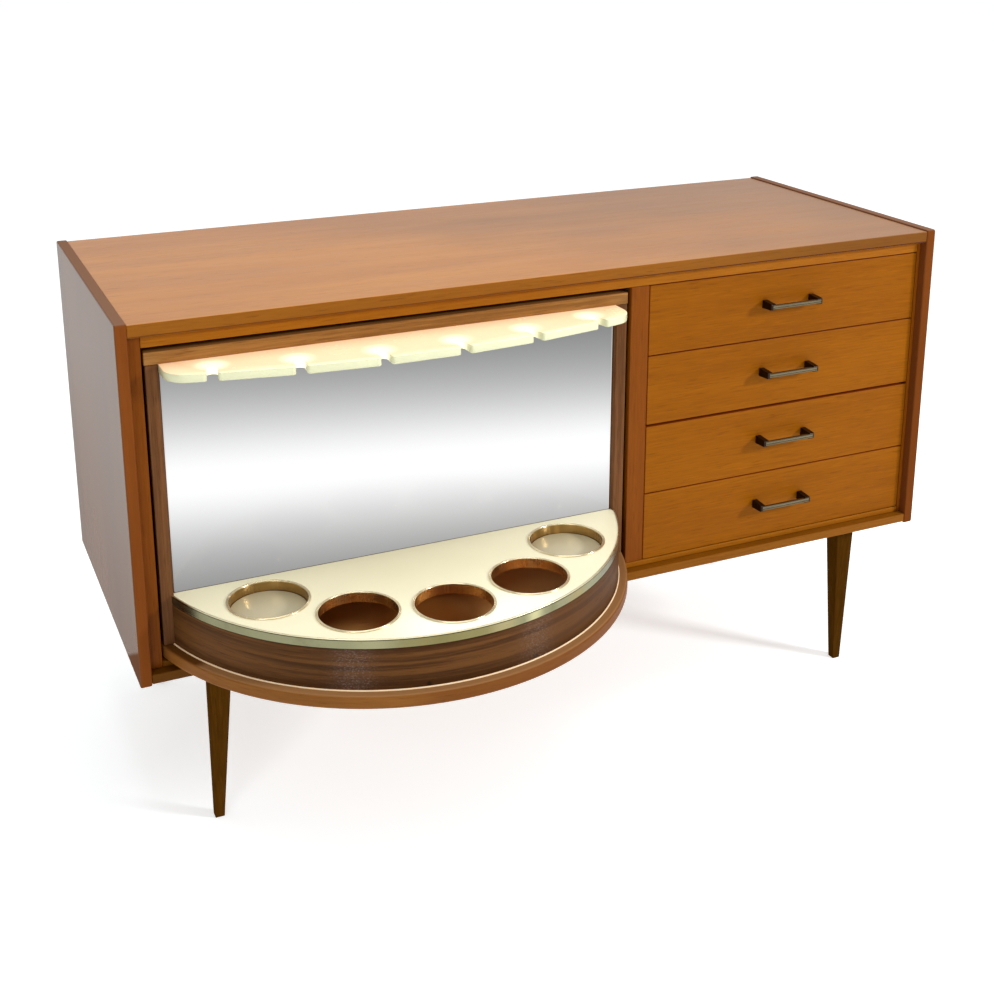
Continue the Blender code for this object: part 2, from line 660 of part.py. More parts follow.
def make_bottle_ring(number, pivot):
    """Open ring, through which a bottle stands on the base."""
    profile = [(CUP_RADIUS, -TRAY_THICKNESS), (CUP_OUTER, -TRAY_THICKNESS)] + cup_rim()
    add_piece(f"bottle_ring_{number}", turned(profile, CUP_STEPS), "brass", pivot,
              (*cup_centre(number), TRAY_HIGH))


def make_bottle_dish(number, pivot):
    """Ring with a shallow floor."""
    floor = -DISH_DEPTH
    under = floor - DISH_FLOOR
    profile = [(0, under), (CUP_OUTER, under)] + cup_rim() + [(CUP_RADIUS, floor), (0, floor)]
    add_piece(f"bottle_dish_{number}", turned(profile, CUP_STEPS), "brass", pivot,
              (*cup_centre(number), TRAY_HIGH))


def make_cups(pivot):
    """Dishes at both ends of the row, open rings between them."""
    for number in range(1, CUP_COUNT + 1):
        if number in (1, CUP_COUNT):
            make_bottle_dish(number, pivot)
        else:
            make_bottle_ring(number, pivot)


def rack_arc_centre():
    """Y of the centre of the rack's front arc."""
    return BOX_FRONT - RACK_REACH + RACK_ARC


def rack_outline():
    """Rack seen from above: a shallow front arc with round corners."""
    half = BOX_INNER - FIT
    centre_y = rack_arc_centre()
    corner_x = half - RACK_CORNER
    corner_y = centre_y - math.sqrt((RACK_ARC - RACK_CORNER) ** 2 - corner_x ** 2)
    turn = math.atan2(corner_y - centre_y, corner_x)
    right = arc(RACK_CORNER, 0, turn, RACK_CORNER_STEPS, (corner_x, corner_y))
    front = arc(RACK_ARC, turn, -math.pi - turn, RACK_ARC_STEPS, (0, centre_y))
    left = [(-x, y) for x, y in reversed(right)]
    return [(half, RACK_BACK)] + right + front[1:-1] + left + [(-half, RACK_BACK)]


def rack_place(number):
    """Turns a shape at the front arc's middle to the place of a slot, counted from 0."""
    angle = (number - (SLOT_COUNT - 1) / 2) * SLOT_PITCH / RACK_ARC
    centre = Matrix.Translation((0, rack_arc_centre(), 0))
    return centre @ Matrix.Rotation(angle, 4, "Z") @ centre.inverted()


def rack_row(shapes):
    """Copies of a cutter, one at each slot."""
    for number, shape in enumerate(shapes):
        bmesh.ops.transform(shape, matrix=rack_place(number), verts=shape.verts)
    return merged(shapes)


def make_glass_rack(pivot):
    """Rack with a slot and a well for each hanging glass."""
    rack = add_piece("glass_rack", prism(rack_outline(), "Z", RACK_LOW, RACK_HIGH),
                     "cream_acrylic", pivot)
    soften(rack, RACK_ROUND)
    edge = BOX_FRONT - RACK_REACH
    half = SLOT_WIDTH / 2
    end = edge + SLOT_LENGTH - half
    outline = [(-half, edge - OVERRUN), (half, edge - OVERRUN)]
    outline += arc(half, 0, math.pi, SLOT_STEPS, (0, end))
    slots = [prism(outline, "Z", RACK_LOW - OVERRUN, RACK_HIGH + OVERRUN)
             for _ in range(SLOT_COUNT)]
    wells = [cylinder(WELL_RADIUS, RACK_HIGH - WELL_DEPTH, RACK_HIGH + OVERRUN, WELL_STEPS,
                      (0, edge + WELL_SETBACK)) for _ in range(SLOT_COUNT)]
    combine(rack, add_guide("well_cutter", rack_row(wells), pivot), "DIFFERENCE")
    combine(rack, add_guide("slot_cutter", rack_row(slots), pivot), "DIFFERENCE")


def make_lamp(pivot):
    """Lamp tube behind the rack, in a holder at each end."""
    middle_y = RACK_BACK + LAMP_GAP + LAMP_RADIUS
    holder_low = RACK_HIGH - HOLDER_DEPTH
    height = holder_low + HOLDER_BELOW + LAMP_RADIUS
    circle = arc(LAMP_RADIUS, 0, math.tau, LAMP_STEPS, (middle_y, height))[:-1]
    lamp = add_piece("lamp_tube", prism(circle, "X", -LAMP_HALF, LAMP_HALF), "lamp_glass", pivot)
    holders = [block((end - HOLDER_LENGTH / 2, middle_y - HOLDER_DEPTH / 2, holder_low),
                     (end + HOLDER_LENGTH / 2, middle_y + HOLDER_DEPTH / 2, RACK_HIGH))
               for end in (-LAMP_HALF, LAMP_HALF)]
    combine(lamp, add_guide("lamp_holder_guide", merged(holders), pivot), "UNION")


def make_drawer_front(name, drawer):
    """Front board of a drawer."""
    make_board(name, (DRAWER_LEFT, FRAME_SETBACK, 0),
               (DRAWER_RIGHT, DRAWER_FRONT_BACK, DRAWER_HEIGHT), "teak", drawer)


def make_drawer_wall(name, outer, side, drawer):
    """Side wall, grooved outside for its runner and inside for the bottom."""
    inner = outer + side * DRAWER_WALL
    runner = outer + side * GROOVE_DEPTH
    seat = inner - side * DRAWER_BOTTOM_GROOVE
    seat_low, seat_high = BOTTOM_LOW - FIT, BOTTOM_HIGH + FIT
    outline = [(outer, WALL_LOW), (inner, WALL_LOW), (inner, seat_low), (seat, seat_low),
               (seat, seat_high), (inner, seat_high), (inner, WALL_HIGH), (outer, WALL_HIGH),
               (outer, GROOVE_HIGH), (runner, GROOVE_HIGH), (runner, GROOVE_LOW),
               (outer, GROOVE_LOW)]
    add_piece(name, prism(outline, "Y", DRAWER_FRONT_BACK + FIT, DRAWER_END), "beech", drawer)


def make_drawer_back(name, drawer):
    """Back wall, which stands on the bottom."""
    left = WALL_LEFT + DRAWER_WALL + FIT
    right = DRAWER_RIGHT - DRAWER_WALL - FIT
    make_inner_board(name, (left, DRAWER_END - DRAWER_WALL, BOTTOM_HIGH + FIT),
                     (right, DRAWER_END, WALL_HIGH), "beech", drawer)


def make_drawer_bottom(name, drawer):
    """Bottom panel, held in the walls' grooves."""
    inset = DRAWER_WALL - DRAWER_BOTTOM_GROOVE + FIT
    bottom = block((WALL_LEFT + inset, DRAWER_FRONT_BACK + FIT, BOTTOM_LOW),
                   (DRAWER_RIGHT - inset, DRAWER_END, BOTTOM_HIGH))
    add_piece(name, bottom, "hardboard", drawer)


def make_handle(name, drawer):
    """Bridge pull: two square posts and a flat grip, as one piece."""
    front = FRAME_SETBACK - FIT
    middle_x = (DRAWER_LEFT + DRAWER_RIGHT) / 2
    middle_z = DRAWER_HEIGHT / 2 + HANDLE_RAISE
    half = HANDLE_LENGTH / 2
    grip_end = half - GRIP_END_INSET
    tip = front - HANDLE_REACH
    grip = block((-grip_end, tip, -GRIP_HEIGHT / 2), (grip_end, tip + GRIP_THICKNESS, GRIP_HEIGHT / 2))
    posts = [block((side * half - (side + 1) / 2 * POST_WIDTH, tip + GRIP_PROUD, -POST_HEIGHT / 2),
                   (side * half + (1 - side) / 2 * POST_WIDTH, front, POST_HEIGHT / 2))
             for side in (-1, 1)]
    place = (middle_x, 0, middle_z)
    handle = add_piece(name, grip, "bronze", drawer, place)
    guide = add_guide(f"{name}_posts", merged(posts), drawer, place)
    soften(guide, POST_ROUND, INNER_STEPS)
    combine(handle, guide, "UNION")


def make_drawer(number, case):
    """One drawer; number 1 is at the top."""
    drawer = anchor(f"drawer_{number}", (0, 0, drawer_low(number)), case)
    make_drawer_front(f"drawer_{number}_front", drawer)
    make_drawer_wall(f"drawer_{number}_side_left", WALL_LEFT, 1, drawer)
    make_drawer_wall(f"drawer_{number}_side_right", DRAWER_RIGHT, -1, drawer)
    make_drawer_back(f"drawer_{number}_back", drawer)
    make_drawer_bottom(f"drawer_{number}_bottom", drawer)
    make_handle(f"drawer_{number}_handle", drawer)


def make_turning_cabinet(case):
    """The bar: everything on its pivot, with the bearing below and the tube above."""
    pivot = anchor("bar_pivot", (AXIS_X, AXIS_SETBACK, 0), case)
    make_bearing(pivot)
    make_pivot_tube(pivot)
    make_bar_base(pivot)
    make_bar_box(pivot)
    make_mirror(pivot)
    make_fascia(pivot)
    make_tray(pivot)
    make_edge_band(pivot)
    make_cups(pivot)
    make_glass_rack(pivot)
    make_lamp(pivot)


def make_sideboard():
    """The whole object, its box centred over the origin."""
    case = anchor("sideboard", (0, FRONT_Y, 0))
    make_case(case)
    make_back_panel(case)
    make_cable_gland(case)
    make_face_frame(case)
    make_legs(case)
    make_runner_rack("runner_rack_left", STILE_RIGHT + FIT, 1, LEFT_RACK_THICKNESS,
                     RUNNER_FRONT, case)
    make_runner_rack("runner_rack_right", INNER_X - FIT, -1, RIGHT_RACK_THICKNESS - FIT,
                     FRAME_SETBACK, case)
    make_turning_cabinet(case)
    for number in range(1, DRAWER_COUNT + 1):
        make_drawer(number, case)


clear_scene()
make_sideboard()
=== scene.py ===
"""Finished look of a bar sideboard: teak and walnut veneer, brass, cream laminate and mirror.

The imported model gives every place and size. Pieces with finer edges and fittings than the
model has stand in for it, and the rest of the model takes its finish. Lengths are in
metres, +Z is up and the front faces -Y.
"""

import json
import math

import bmesh
import bpy
from bpy.props import FloatProperty, FloatVectorProperty, IntProperty, PointerProperty
from mathutils import Matrix, Vector


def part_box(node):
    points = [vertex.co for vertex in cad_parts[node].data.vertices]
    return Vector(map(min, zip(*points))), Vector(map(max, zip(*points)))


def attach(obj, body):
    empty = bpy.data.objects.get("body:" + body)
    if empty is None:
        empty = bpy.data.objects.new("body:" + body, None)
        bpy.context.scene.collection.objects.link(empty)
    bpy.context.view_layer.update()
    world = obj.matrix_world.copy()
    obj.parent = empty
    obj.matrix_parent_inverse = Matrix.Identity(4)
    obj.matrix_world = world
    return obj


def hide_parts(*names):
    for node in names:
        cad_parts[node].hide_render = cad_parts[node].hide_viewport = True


bl_info = {
    "name": "Bar Sideboard Finish",
    "version": (1, 0, 0),
    "blender": (4, 5, 0),
    "location": "View3D > Sidebar > Sideboard",
    "description": "Dresses the bar sideboard in its wood, brass, laminate and mirror",
    "category": "Object",
}

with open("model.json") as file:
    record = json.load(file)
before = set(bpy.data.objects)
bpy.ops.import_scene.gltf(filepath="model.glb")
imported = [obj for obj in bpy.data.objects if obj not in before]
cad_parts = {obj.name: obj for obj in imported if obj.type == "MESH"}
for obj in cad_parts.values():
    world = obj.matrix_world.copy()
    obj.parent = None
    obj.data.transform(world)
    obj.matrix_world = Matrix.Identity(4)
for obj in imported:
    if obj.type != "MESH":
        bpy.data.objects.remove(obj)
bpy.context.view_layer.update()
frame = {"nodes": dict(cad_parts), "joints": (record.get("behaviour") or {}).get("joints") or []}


def low(node):
    """Lowest corner of a piece of the model."""
    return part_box(node)[0]


def high(node):
    """Highest corner of a piece of the model."""
    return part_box(node)[1]


# Places and sizes that the model gives
JOINTS = {joint["name"]: joint for joint in frame["joints"]}
PIVOT = Vector(JOINTS["bar_turn"]["pos_m"])
BASE_RADIUS = PIVOT.y - low("bar_base").y
BASE_CHORD = high("bar_base").y - PIVOT.y
DRUM_CHORD = high("bar_fascia").y - PIVOT.y
FASCIA_RADIUS = PIVOT.y - low("bar_fascia").y
TRAY_RADIUS = PIVOT.y - low("bar_tray").y
BASE_TOP = high("bar_base").z
TRAY_LOW = low("bar_tray").z
TRAY_TOP = high("bar_tray").z
BOX_INNER = low("bar_side_right").x - PIVOT.x
CUP_NODES = ("bottle_dish_1", "bottle_ring_2", "bottle_ring_3", "bottle_ring_4", "bottle_dish_5")
DRAWERS = (1, 2, 3, 4)

# Small values that keep shapes clean
FIT = 0.0003                    # between two pieces that are joined
OVERRUN = 0.003                 # by which a cutter passes the face that it opens
MERGE = 0.00001                 # points closer than this are one point
SHARP_ANGLE = math.radians(35)
ARC_STEPS = 160                 # round the drum
ROUND_STEPS = 96                # round a ring or a dish
WELL_STEPS = 64
SCREW_STEPS = 20
CORNER_STEPS = 8

# Sizes that several pieces share
FASCIA_THICKNESS = 0.008
CUP_FLANGE = 0.0020             # width of a ring's flange outside its wall
CUP_WALL = 0.0015

# Marks on the walnut, by their way round from the middle: a knot's height above the foot, and
# the strength of a strip of painted glints (painted highlights) on the pores
KNOTS = ((0.088, 0.0048), (-0.062, 0.0040))
PAINTED_GLINTS = ((0.090, 0.22), (-0.156, 0.29))

# Painted reflections on the brass band: way round from the middle, reach to each side and colour
BAND_PAINTED_REFLECTIONS = ((0.040, 0.030, (0.33, 0.27, 0.135)), (0.087, 0.020, (0.52, 0.47, 0.25)),
                (0.118, 0.012, (0.19, 0.175, 0.09)), (0.168, 0.030, (0.30, 0.235, 0.10)))

# Camera
PHOTO_SIDE = 995                # longer side of the image, in pixels
FOCAL_PIXELS = 1431.7
SENSOR = 36                     # millimetres
CAMERA_PLACE = Vector((-0.8458, -1.7425, 1.1848))
CAMERA_TURN = math.radians(-24.42)
CAMERA_TILT = math.radians(15.74)
CAMERA_SHIFT = (-0.0043, -0.1985)


def colour(name, description, default):
    """Colour that a user may change."""
    return FloatVectorProperty(name=name, description=description, default=default,
                               subtype="COLOR", min=0, max=1)


def length(name, description, default):
    """Length that a user may change."""
    return FloatProperty(name=name, description=description, default=default, min=0,
                         unit="LENGTH", precision=4)


class SideboardColours(bpy.types.PropertyGroup):
    """Colours of the finishes."""

    teak: colour("Teak", "Veneer of the drawer fronts and the door", (0.236, 0.070, 0.0005))
    frame: colour("Frame", "Teak of the stiles and the runner racks", (0.190, 0.048, 0.002))
    rail: colour("Rail", "Teak of the rails, the bottom and the top's lipping",
                 (0.240, 0.078, 0.003))
    # Painted shade: the side veneer is a darker copy of the teak.
    side: colour("Sides", "Veneer of the side panels", (0.140, 0.047, 0.005))
    edge: colour("Panel edges", "Edges and inner faces of the side panels", (0.185, 0.051, 0.010))
    # The line under the top's lipping is a painted shadow.
    joint: colour("Joints", "Edges of the drawer fronts and the line under the top's lipping",
                  (0.24, 0.042, 0.003))
    # Painted sheen on the side panels' upper edges.
    painted_light_on_tops: colour("Worn edges", "Rubbed upper edges of the side panels", (0.23, 0.12, 0.075))
    # Painted reflection: the dark lower front corner of the side panels.
    corner: colour("Bare corner", "Side panels where the lacquer is rubbed off",
                   (0.160, 0.070, 0.040))
    top: colour("Top", "Veneer of the top", (0.50, 0.178, 0.010))
    # Painted shade on the top's right end.
    top_painted_shade: colour("Faded top", "Veneer of the top at its duller right end", (0.24, 0.088, 0.008))
    rim: colour("Rim", "Teak of the half-round base", (0.214, 0.079, 0.015))
    # Painted reflection on the base's top, and painted shade at its left end.
    ledge: colour("Ledge", "Worn top of the half-round base", (0.32, 0.160, 0.062))
    ledge_shade: colour("Unworn ledge", "Top of the half-round base at its left end",
                   (0.090, 0.030, 0.004))
    walnut: colour("Walnut", "Veneer of the drum's front", (0.083, 0.031, 0.0075))
    walnut_light: colour("Pale walnut", "The drum's front at its left end", (0.25, 0.125, 0.052))
    box: colour("Box", "Walnut of the turning box's sides", (0.135, 0.053, 0.018))
    # Painted light: a lighter copy of the box's walnut.
    box_top_lit: colour("Box top", "Walnut of the turning box's top", (0.29, 0.130, 0.034))
    leg: colour("Legs", "Stained wood of the legs", (0.074, 0.028, 0.003))
    beech: colour("Beech", "Plain wood of the drawer boxes", (0.56, 0.37, 0.19))
    board: colour("Hardboard", "Back panel and drawer bottoms", (0.26, 0.15, 0.075))
    laminate: colour("Laminate", "Cream surface of the tray", (0.86, 0.80, 0.56))
    acrylic: colour("Acrylic", "Cream sheet of the glass rack", (0.66, 0.65, 0.42))
    glow: colour("Glow", "Light of the lamp behind the glass rack", (1.0, 0.86, 0.60))
    brass: colour("Brass", "Edge band", (0.228, 0.215, 0.122))
    # Painted highlight on the band's bead.
    bead: colour("Band bead", "Polished bead of the edge band", (0.84, 0.75, 0.50))
    # Painted highlights: the flange and the open rings' walls are lighter copies of the brass.
    flange: colour("Ring flange", "Polished flange of the bottle rings", (0.84, 0.72, 0.47))
    ring: colour("Rings", "Brass walls of the dishes", (0.42, 0.27, 0.105))
    ring_open_lit: colour("Open rings", "Brass walls of the open rings", (0.98, 0.70, 0.33))
    bronze: colour("Bronze", "Posts of the handles", (0.030, 0.018, 0.013))
    grip: colour("Grip", "Bars of the handles", (0.15, 0.122, 0.076))
    floor: colour("Floor", "Pale floor", (0.81, 0.87, 0.89))


class SideboardSizes(bpy.types.PropertyGroup):
    """Sizes of details that are finer than the model."""

    rim_round: length("Rim", "Rounding of the half-round base", 0.0034)
    band_lip: length("Band lip", "Width of the brass lip on the tray", 0.0016)
    band_bead: length("Band bead", "Height of the bead at the top of the brass band", 0.0013)
    band_groove: length("Band groove", "Height of the groove under the bead", 0.0009)
    bead: length("Bead", "Height of the light line at the fascia's foot", 0.0014)
    rack_arc: length("Rack arc", "Radius of the glass rack's front edge", 1.165)
    rack_corner: length("Rack corner", "Radius of the glass rack's corners", 0.030)
    rack_round: length("Rack edge", "Rounding of the glass rack's edges", 0.0014)
    slot_count: IntProperty(name="Slots", description="Slots in the glass rack", default=6, min=1)
    slot_pitch: length("Slot pitch", "Distance between two slots", 0.1045)
    slot_width: length("Slot width", "Width of a slot", 0.0130)
    slot_length: length("Slot length", "Length of a slot", 0.027)
    slot_corner: length("Slot corner", "Rounding of a slot's mouth", 0.0042)
    well_radius: length("Well", "Radius of a well for a glass", 0.0245)
    well_depth: length("Well depth", "Depth of a well", 0.0015)
    well_setback: length("Well setback", "Centre of a well behind the front edge", 0.0315)
    groove: length("Grip groove", "Width of the groove in a handle's grip", 0.0020)
    post_foot: length("Post foot", "Height of a handle's post where it meets the drawer", 0.0120)


class SideboardLight(bpy.types.PropertyGroup):
    """Strengths of the studio's lights."""

    room: FloatProperty(name="Room", description="Light from all round", default=0.34, min=0)
    back: FloatProperty(name="Back", description="Added light from behind", default=0.34, min=0)
    ceiling: FloatProperty(name="Ceiling", description="Added light from above", default=0.30,
                           min=0)
    floor: FloatProperty(name="Floor", description="Light that the floor gives by itself",
                         default=0.50, min=0)
    overhead: FloatProperty(name="Overhead", description="Soft box above", default=30,
                            min=0, unit="POWER")
    key: FloatProperty(name="Key", description="Light from the front right", default=70,
                       min=0, unit="POWER")
    window: FloatProperty(name="Window", description="Light from the front left", default=18,
                          min=0, unit="POWER")


class Field:
    """A value that varies over a surface; arithmetic on it adds Math nodes."""

    def __init__(self, finish, socket):
        self.finish = finish
        self.socket = socket

    def maths(self, operation, *others):
        """Math node whose first value is this one."""
        values = dict(enumerate((self, *others)))
        return self.finish.node("ShaderNodeMath", {"operation": operation}, values)

    def __add__(self, other):
        return self.maths("ADD", other)

    def __sub__(self, other):
        return self.maths("SUBTRACT", other)

    def __rsub__(self, other):
        return self.finish.node("ShaderNodeMath", {"operation": "SUBTRACT"}, {0: other, 1: self})

    def __mul__(self, other):
        return self.maths("MULTIPLY", other)

    def __truediv__(self, other):
        return self.maths("DIVIDE", other)

    def __rtruediv__(self, other):
        return self.finish.node("ShaderNodeMath", {"operation": "DIVIDE"}, {0: other, 1: self})

    __radd__ = __add__
    __rmul__ = __mul__

    def rise(self, start, end):
        """Smooth rise from 0 at start to 1 at end."""
        return self.finish.node("ShaderNodeMapRange", {"interpolation_type": "SMOOTHSTEP"},
                                {"Value": self, "From Min": start, "From Max": end})


class Shading:
    """Node tree that is being built."""

    def __init__(self, tree):
        self.tree = tree

    def node(self, kind, settings, values, output=0):
        """Adds a node, its settings before its sockets, and gives one of its outputs."""
        made = self.tree.nodes.new(kind)
        for key, value in settings.items():
            setattr(made, key, value)
        for key, value in values.items():
            self.feed(made.inputs[key], value)
        return Field(self, made.outputs[output])

    def feed(self, socket, value):
        """Links a field to a socket, or sets the socket's own value."""
        if isinstance(value, Field):
            self.tree.links.new(value.socket, socket)
        else:
            socket.default_value = value

    def spread(self, output):
        """X, Y and Z of one of the texture coordinates."""
        spot = self.node("ShaderNodeTexCoord", {}, {}, output)
        parts = self.node("ShaderNodeSeparateXYZ", {}, {"Vector": spot}).socket.node
        return [Field(self, part) for part in parts.outputs]


class Finish(Shading):
    """Material that is being made."""

    def __init__(self, name):
        self.material = bpy.data.materials.new(name)
        self.material.use_nodes = True
        super().__init__(self.material.node_tree)
        self.shader = self.tree.nodes["Principled BSDF"]

    def shade(self, **values):
        """Sets the shader's sockets; their names have _ for a space."""
        for key, value in values.items():
            self.feed(self.shader.inputs[key.replace("_", " ")], value)
        return self.material

    def place(self):
        """X, Y and Z on the resting object."""
        return self.spread("Object")

    def facing(self):
        """X, Y and Z of the way that the surface faces on the resting object."""
        return self.spread("Normal")

    def vector(self, x, y, z):
        """Vector of three values."""
        return self.node("ShaderNodeCombineXYZ", {}, {"X": x, "Y": y, "Z": z})

    def noise(self, x, y, z, detail=2.0, rough=0.5):
        """Noise around 0, about -0.5 to 0.5, one cell to each unit."""
        values = {"Vector": self.vector(x, y, z), "Scale": 1.0, "Detail": detail,
                  "Roughness": rough}
        return self.node("ShaderNodeTexNoise", {}, values, "Fac") - 0.5

    def even_noise(self, place, cells, detail=2.0, rough=0.5):
        """Noise with the same number of cells to the metre in all three directions."""
        x, y, z = [way * cells for way in place]
        return self.noise(x, y, z, detail, rough)

    def mix(self, share, first, second):
        """Colour between two, by a share."""
        colours = {0: share, 6: opaque(first), 7: opaque(second)}
        return self.node("ShaderNodeMix", {"data_type": "RGBA"}, colours, 2)

    def bump(self, height, depth):
        """Normal of a surface with that relief, depth metres from lowest to highest."""
        return self.node("ShaderNodeBump", {}, {"Height": height, "Distance": depth}, "Normal")


def opaque(value):
    """Colour with its alpha, or a field as it is."""
    return value if isinstance(value, Field) else (*value, 1)


def toned(shade, factor, warmth=0.0):
    """Lighter or darker colour; warmth above 0 takes green and blue from it."""
    red, green, blue = shade
    return [min(1, red * factor), min(1, green * factor * (1 - warmth)),
            min(1, blue * factor * (1 - 2 * warmth))]


def round_the_pivot(finish):
    """Way along the arc, distance from the pivot and height."""
    x, y, z = finish.place()
    away, ahead = x - PIVOT.x, PIVOT.y - y
    along = away.maths("ARCTAN2", ahead) * BASE_RADIUS
    return along, (away * away + ahead * ahead).maths("SQRT"), z


def grain_axes(finish, grain):
    """Way along the grain and the two ways across it, for grain X, Y, Z or ARC."""
    if grain == "ARC":
        along, radius, height = round_the_pivot(finish)
        return along, height, radius
    x, y, z = finish.place()
    return {"X": (x, z, y), "Y": (y, z, x), "Z": (z, x, y)}[grain]


# How each wood varies. The first four are shares of its clouds, bands, streaks and fibres. Then
# come its bands to the metre across and along the grain, the depth of its waves in metres, the
# share of dark and of light dashes, its palest and darkest tones, roughness, sheen and relief
WOODS = {
    "teak": dict(cloud=0.9, band=0.6, streak=1.2, fibre=0.8, bands=45, runs=3.0, wave=0.012,
                 dark=0.42, light=0.34, pale=1.13, deep=0.86, rough=0.48, sheen=0.05, relief=1),
    "frame": dict(cloud=0.8, band=0.6, streak=1.0, fibre=0.8, bands=90, runs=3.0, wave=0.006,
                  dark=0.45, light=0.24, pale=1.14, deep=0.86, rough=0.46, sheen=0.06, relief=1),
    "side": dict(cloud=1.6, band=0.9, streak=0.3, fibre=0.2, bands=12, runs=0.8, wave=0.012,
                 dark=0.12, light=0.06, pale=1.15, deep=0.80, rough=0.42, sheen=0.0, relief=0.3),
    "top": dict(cloud=1.2, band=0.9, streak=0.9, fibre=0.6, bands=26, runs=2.0, wave=0.020,
                dark=0.45, light=0.20, pale=1.10, deep=0.86, rough=0.44, sheen=0.10, relief=1),
    "walnut": dict(cloud=0.5, band=3.4, streak=0.8, fibre=0.5, bands=100, runs=1.8, wave=0.020,
                   dark=0.46, light=0.15, pale=1.46, deep=0.58, rough=0.48, sheen=0.05, relief=2),
    "box": dict(cloud=0.8, band=1.4, streak=1.2, fibre=0.8, bands=110, runs=2.5, wave=0.008,
                dark=0.50, light=0.25, pale=1.25, deep=0.70, rough=0.46, sheen=0.05, relief=2),
    "leg": dict(cloud=0.8, band=0.8, streak=1.2, fibre=0.8, bands=120, runs=3.0, wave=0.004,
                dark=0.40, light=0.30, pale=1.22, deep=0.78, rough=0.44, sheen=0.0, relief=1),
    "beech": dict(cloud=0.6, band=0.5, streak=0.8, fibre=0.8, bands=60, runs=3.0, wave=0.006,
                  dark=0.30, light=0.10, pale=1.08, deep=0.90, rough=0.60, sheen=0.20, relief=1),
}


def wood(name, shade, kind, grain, lipping=None, lacquer=None, core=None, extra=None):
    """Veneer or solid wood with clouds, bands, streaks, fibres and short dashes of open pores.

    A lipping is the colour of its edges, with the field that is 1 on them. Lacquer gives the
    field of its gloss, core the field that is 1 where the wood is bare, and extra changes the
    finished colour.
    """
    look = WOODS[kind]
    finish = Finish(name)
    along, across, depth = grain_axes(finish, grain)
    wander = finish.noise(along * 1.6, across * 6, depth * 6)
    wavy = across + wander * look["wave"]
    cloud = finish.noise(along * 2.0, wavy * 16, depth * 16, 2)
    band = finish.noise(along * look["runs"], wavy * look["bands"], depth * look["bands"], 2)
    streak = finish.noise(along * 13, wavy * 330, depth * 330, 3, 0.6)
    fibre = finish.noise(along * 40, wavy * 1000, depth * 1000, 2)
    tone = (cloud * look["cloud"] + band * look["band"] + streak * look["streak"]
            + fibre * look["fibre"] + 0.5).rise(0.0, 1.0)
    dash = finish.noise(along * 34, wavy * 560, depth * 560, 1)
    pores = dash.rise(0.12, 0.24) * look["dark"]
    shine = (0.0 - dash).rise(0.14, 0.26) * look["light"]
    gloss = finish.noise(along * 6, wavy * 60, depth * 60, 2)

    def surface(colour_here):
        """One colour with the wood's tones and dashes."""
        body = finish.mix(tone, toned(colour_here, look["deep"], 0.05),
                          toned(colour_here, look["pale"], -0.03))
        lit = finish.mix(shine, body, toned(colour_here, look["pale"] * 1.25, -0.05))
        return finish.mix(pores, lit, toned(colour_here, look["deep"] * 0.60, 0.10))

    veneer = surface(shade)
    if lipping:
        edge_colour, edges = lipping
        veneer = finish.mix(edges(finish), veneer, surface(edge_colour))
    if lacquer:
        finish.shade(Coat_Weight=lacquer(finish), Coat_Roughness=0.24, Coat_IOR=1.5)
    if extra:
        veneer = extra(finish, veneer)
    if core:
        veneer = finish.mix(core(finish), veneer, bare_wood(finish))
    relief = fibre * 0.5 + streak * 0.4 - pores
    return finish.shade(
        Base_Color=veneer, Roughness=gloss * 0.16 + pores * 0.2 + look["rough"],
        Specular_IOR_Level=look["sheen"], Normal=finish.bump(relief, 0.00010 * look["relief"]))


def bare_wood(finish):
    """Colour of the bare wood inside the drum, with painted light: pale, and paler to the right where
    more light falls in through the rings; darker in the middle.
    """
    # Painted light: the pale colours stand for light that falls in through the rings.
    left, right, darker_middle = (0.48, 0.22, 0.06), (0.84, 0.46, 0.17), (0.35, 0.125, 0.026)
    across = finish.place()[0] - PIVOT.x
    plain = finish.mix(across.rise(-0.15, 0.15), left, right)
    stain = 1.0 - across.maths("ABSOLUTE").rise(0.03, 0.10)
    return finish.mix(stain, plain, darker_middle)


def upward(finish):
    """1 on faces that look up."""
    return finish.facing()[2].rise(0.6, 0.9)


def front_and_back(finish):
    """1 on faces that look to the front or the back."""
    return finish.facing()[1].maths("ABSOLUTE").rise(0.6, 0.9)


def around_the_front(finish):
    """1 on a drawer front's four edges."""
    return 1.0 - front_and_back(finish)


def inside_the_panel(finish):
    """1 on a side panel's edges and inner face."""
    outer = high("side_panel_right").x
    return 1.0 - finish.place()[0].maths("ABSOLUTE").rise(outer - 4 * FIT, outer - FIT)


def laminate(name, shade):
    """Cream laminate: clouded, speckled and wiped, with painted light that makes it paler in front
    and a painted highlight in the middle.
    """
    finish = Finish(name)
    place = finish.place()
    x, y, z = place
    cloud = finish.even_noise(place, 9, 3)
    speckle = finish.even_noise(place, 420)
    wiped = finish.noise(x * 26, y * 70, z * 26, 3)
    tone = (cloud * 0.9 + speckle * 0.3 + 0.5).rise(0.0, 1.0)
    along, radius, _ = round_the_pivot(finish)
    # Painted light: paler towards the front, darker at the back in the box's shade.
    front = radius.rise(0.08, 0.30)
    dull = finish.mix(front, toned(shade, 0.91, 0.03), toned(shade, 1.01))
    paler_tone = finish.mix(front, toned(shade, 0.97, 0.01), toned(shade, 1.08, -0.01))
    # Painted highlight: near-white in the middle of the front.
    middle = 1.0 - (along - 0.02).maths("ABSOLUTE").rise(0.07, 0.16)
    painted_highlight = radius.rise(0.24, 0.30) * middle * 0.8
    return finish.shade(
        Base_Color=finish.mix(painted_highlight, finish.mix(tone, dull, paler_tone), (1.0, 0.99, 0.90)),
        Roughness=0.34 + wiped * 0.12, Specular_IOR_Level=0.4,
        Normal=finish.bump(speckle, 0.000004))


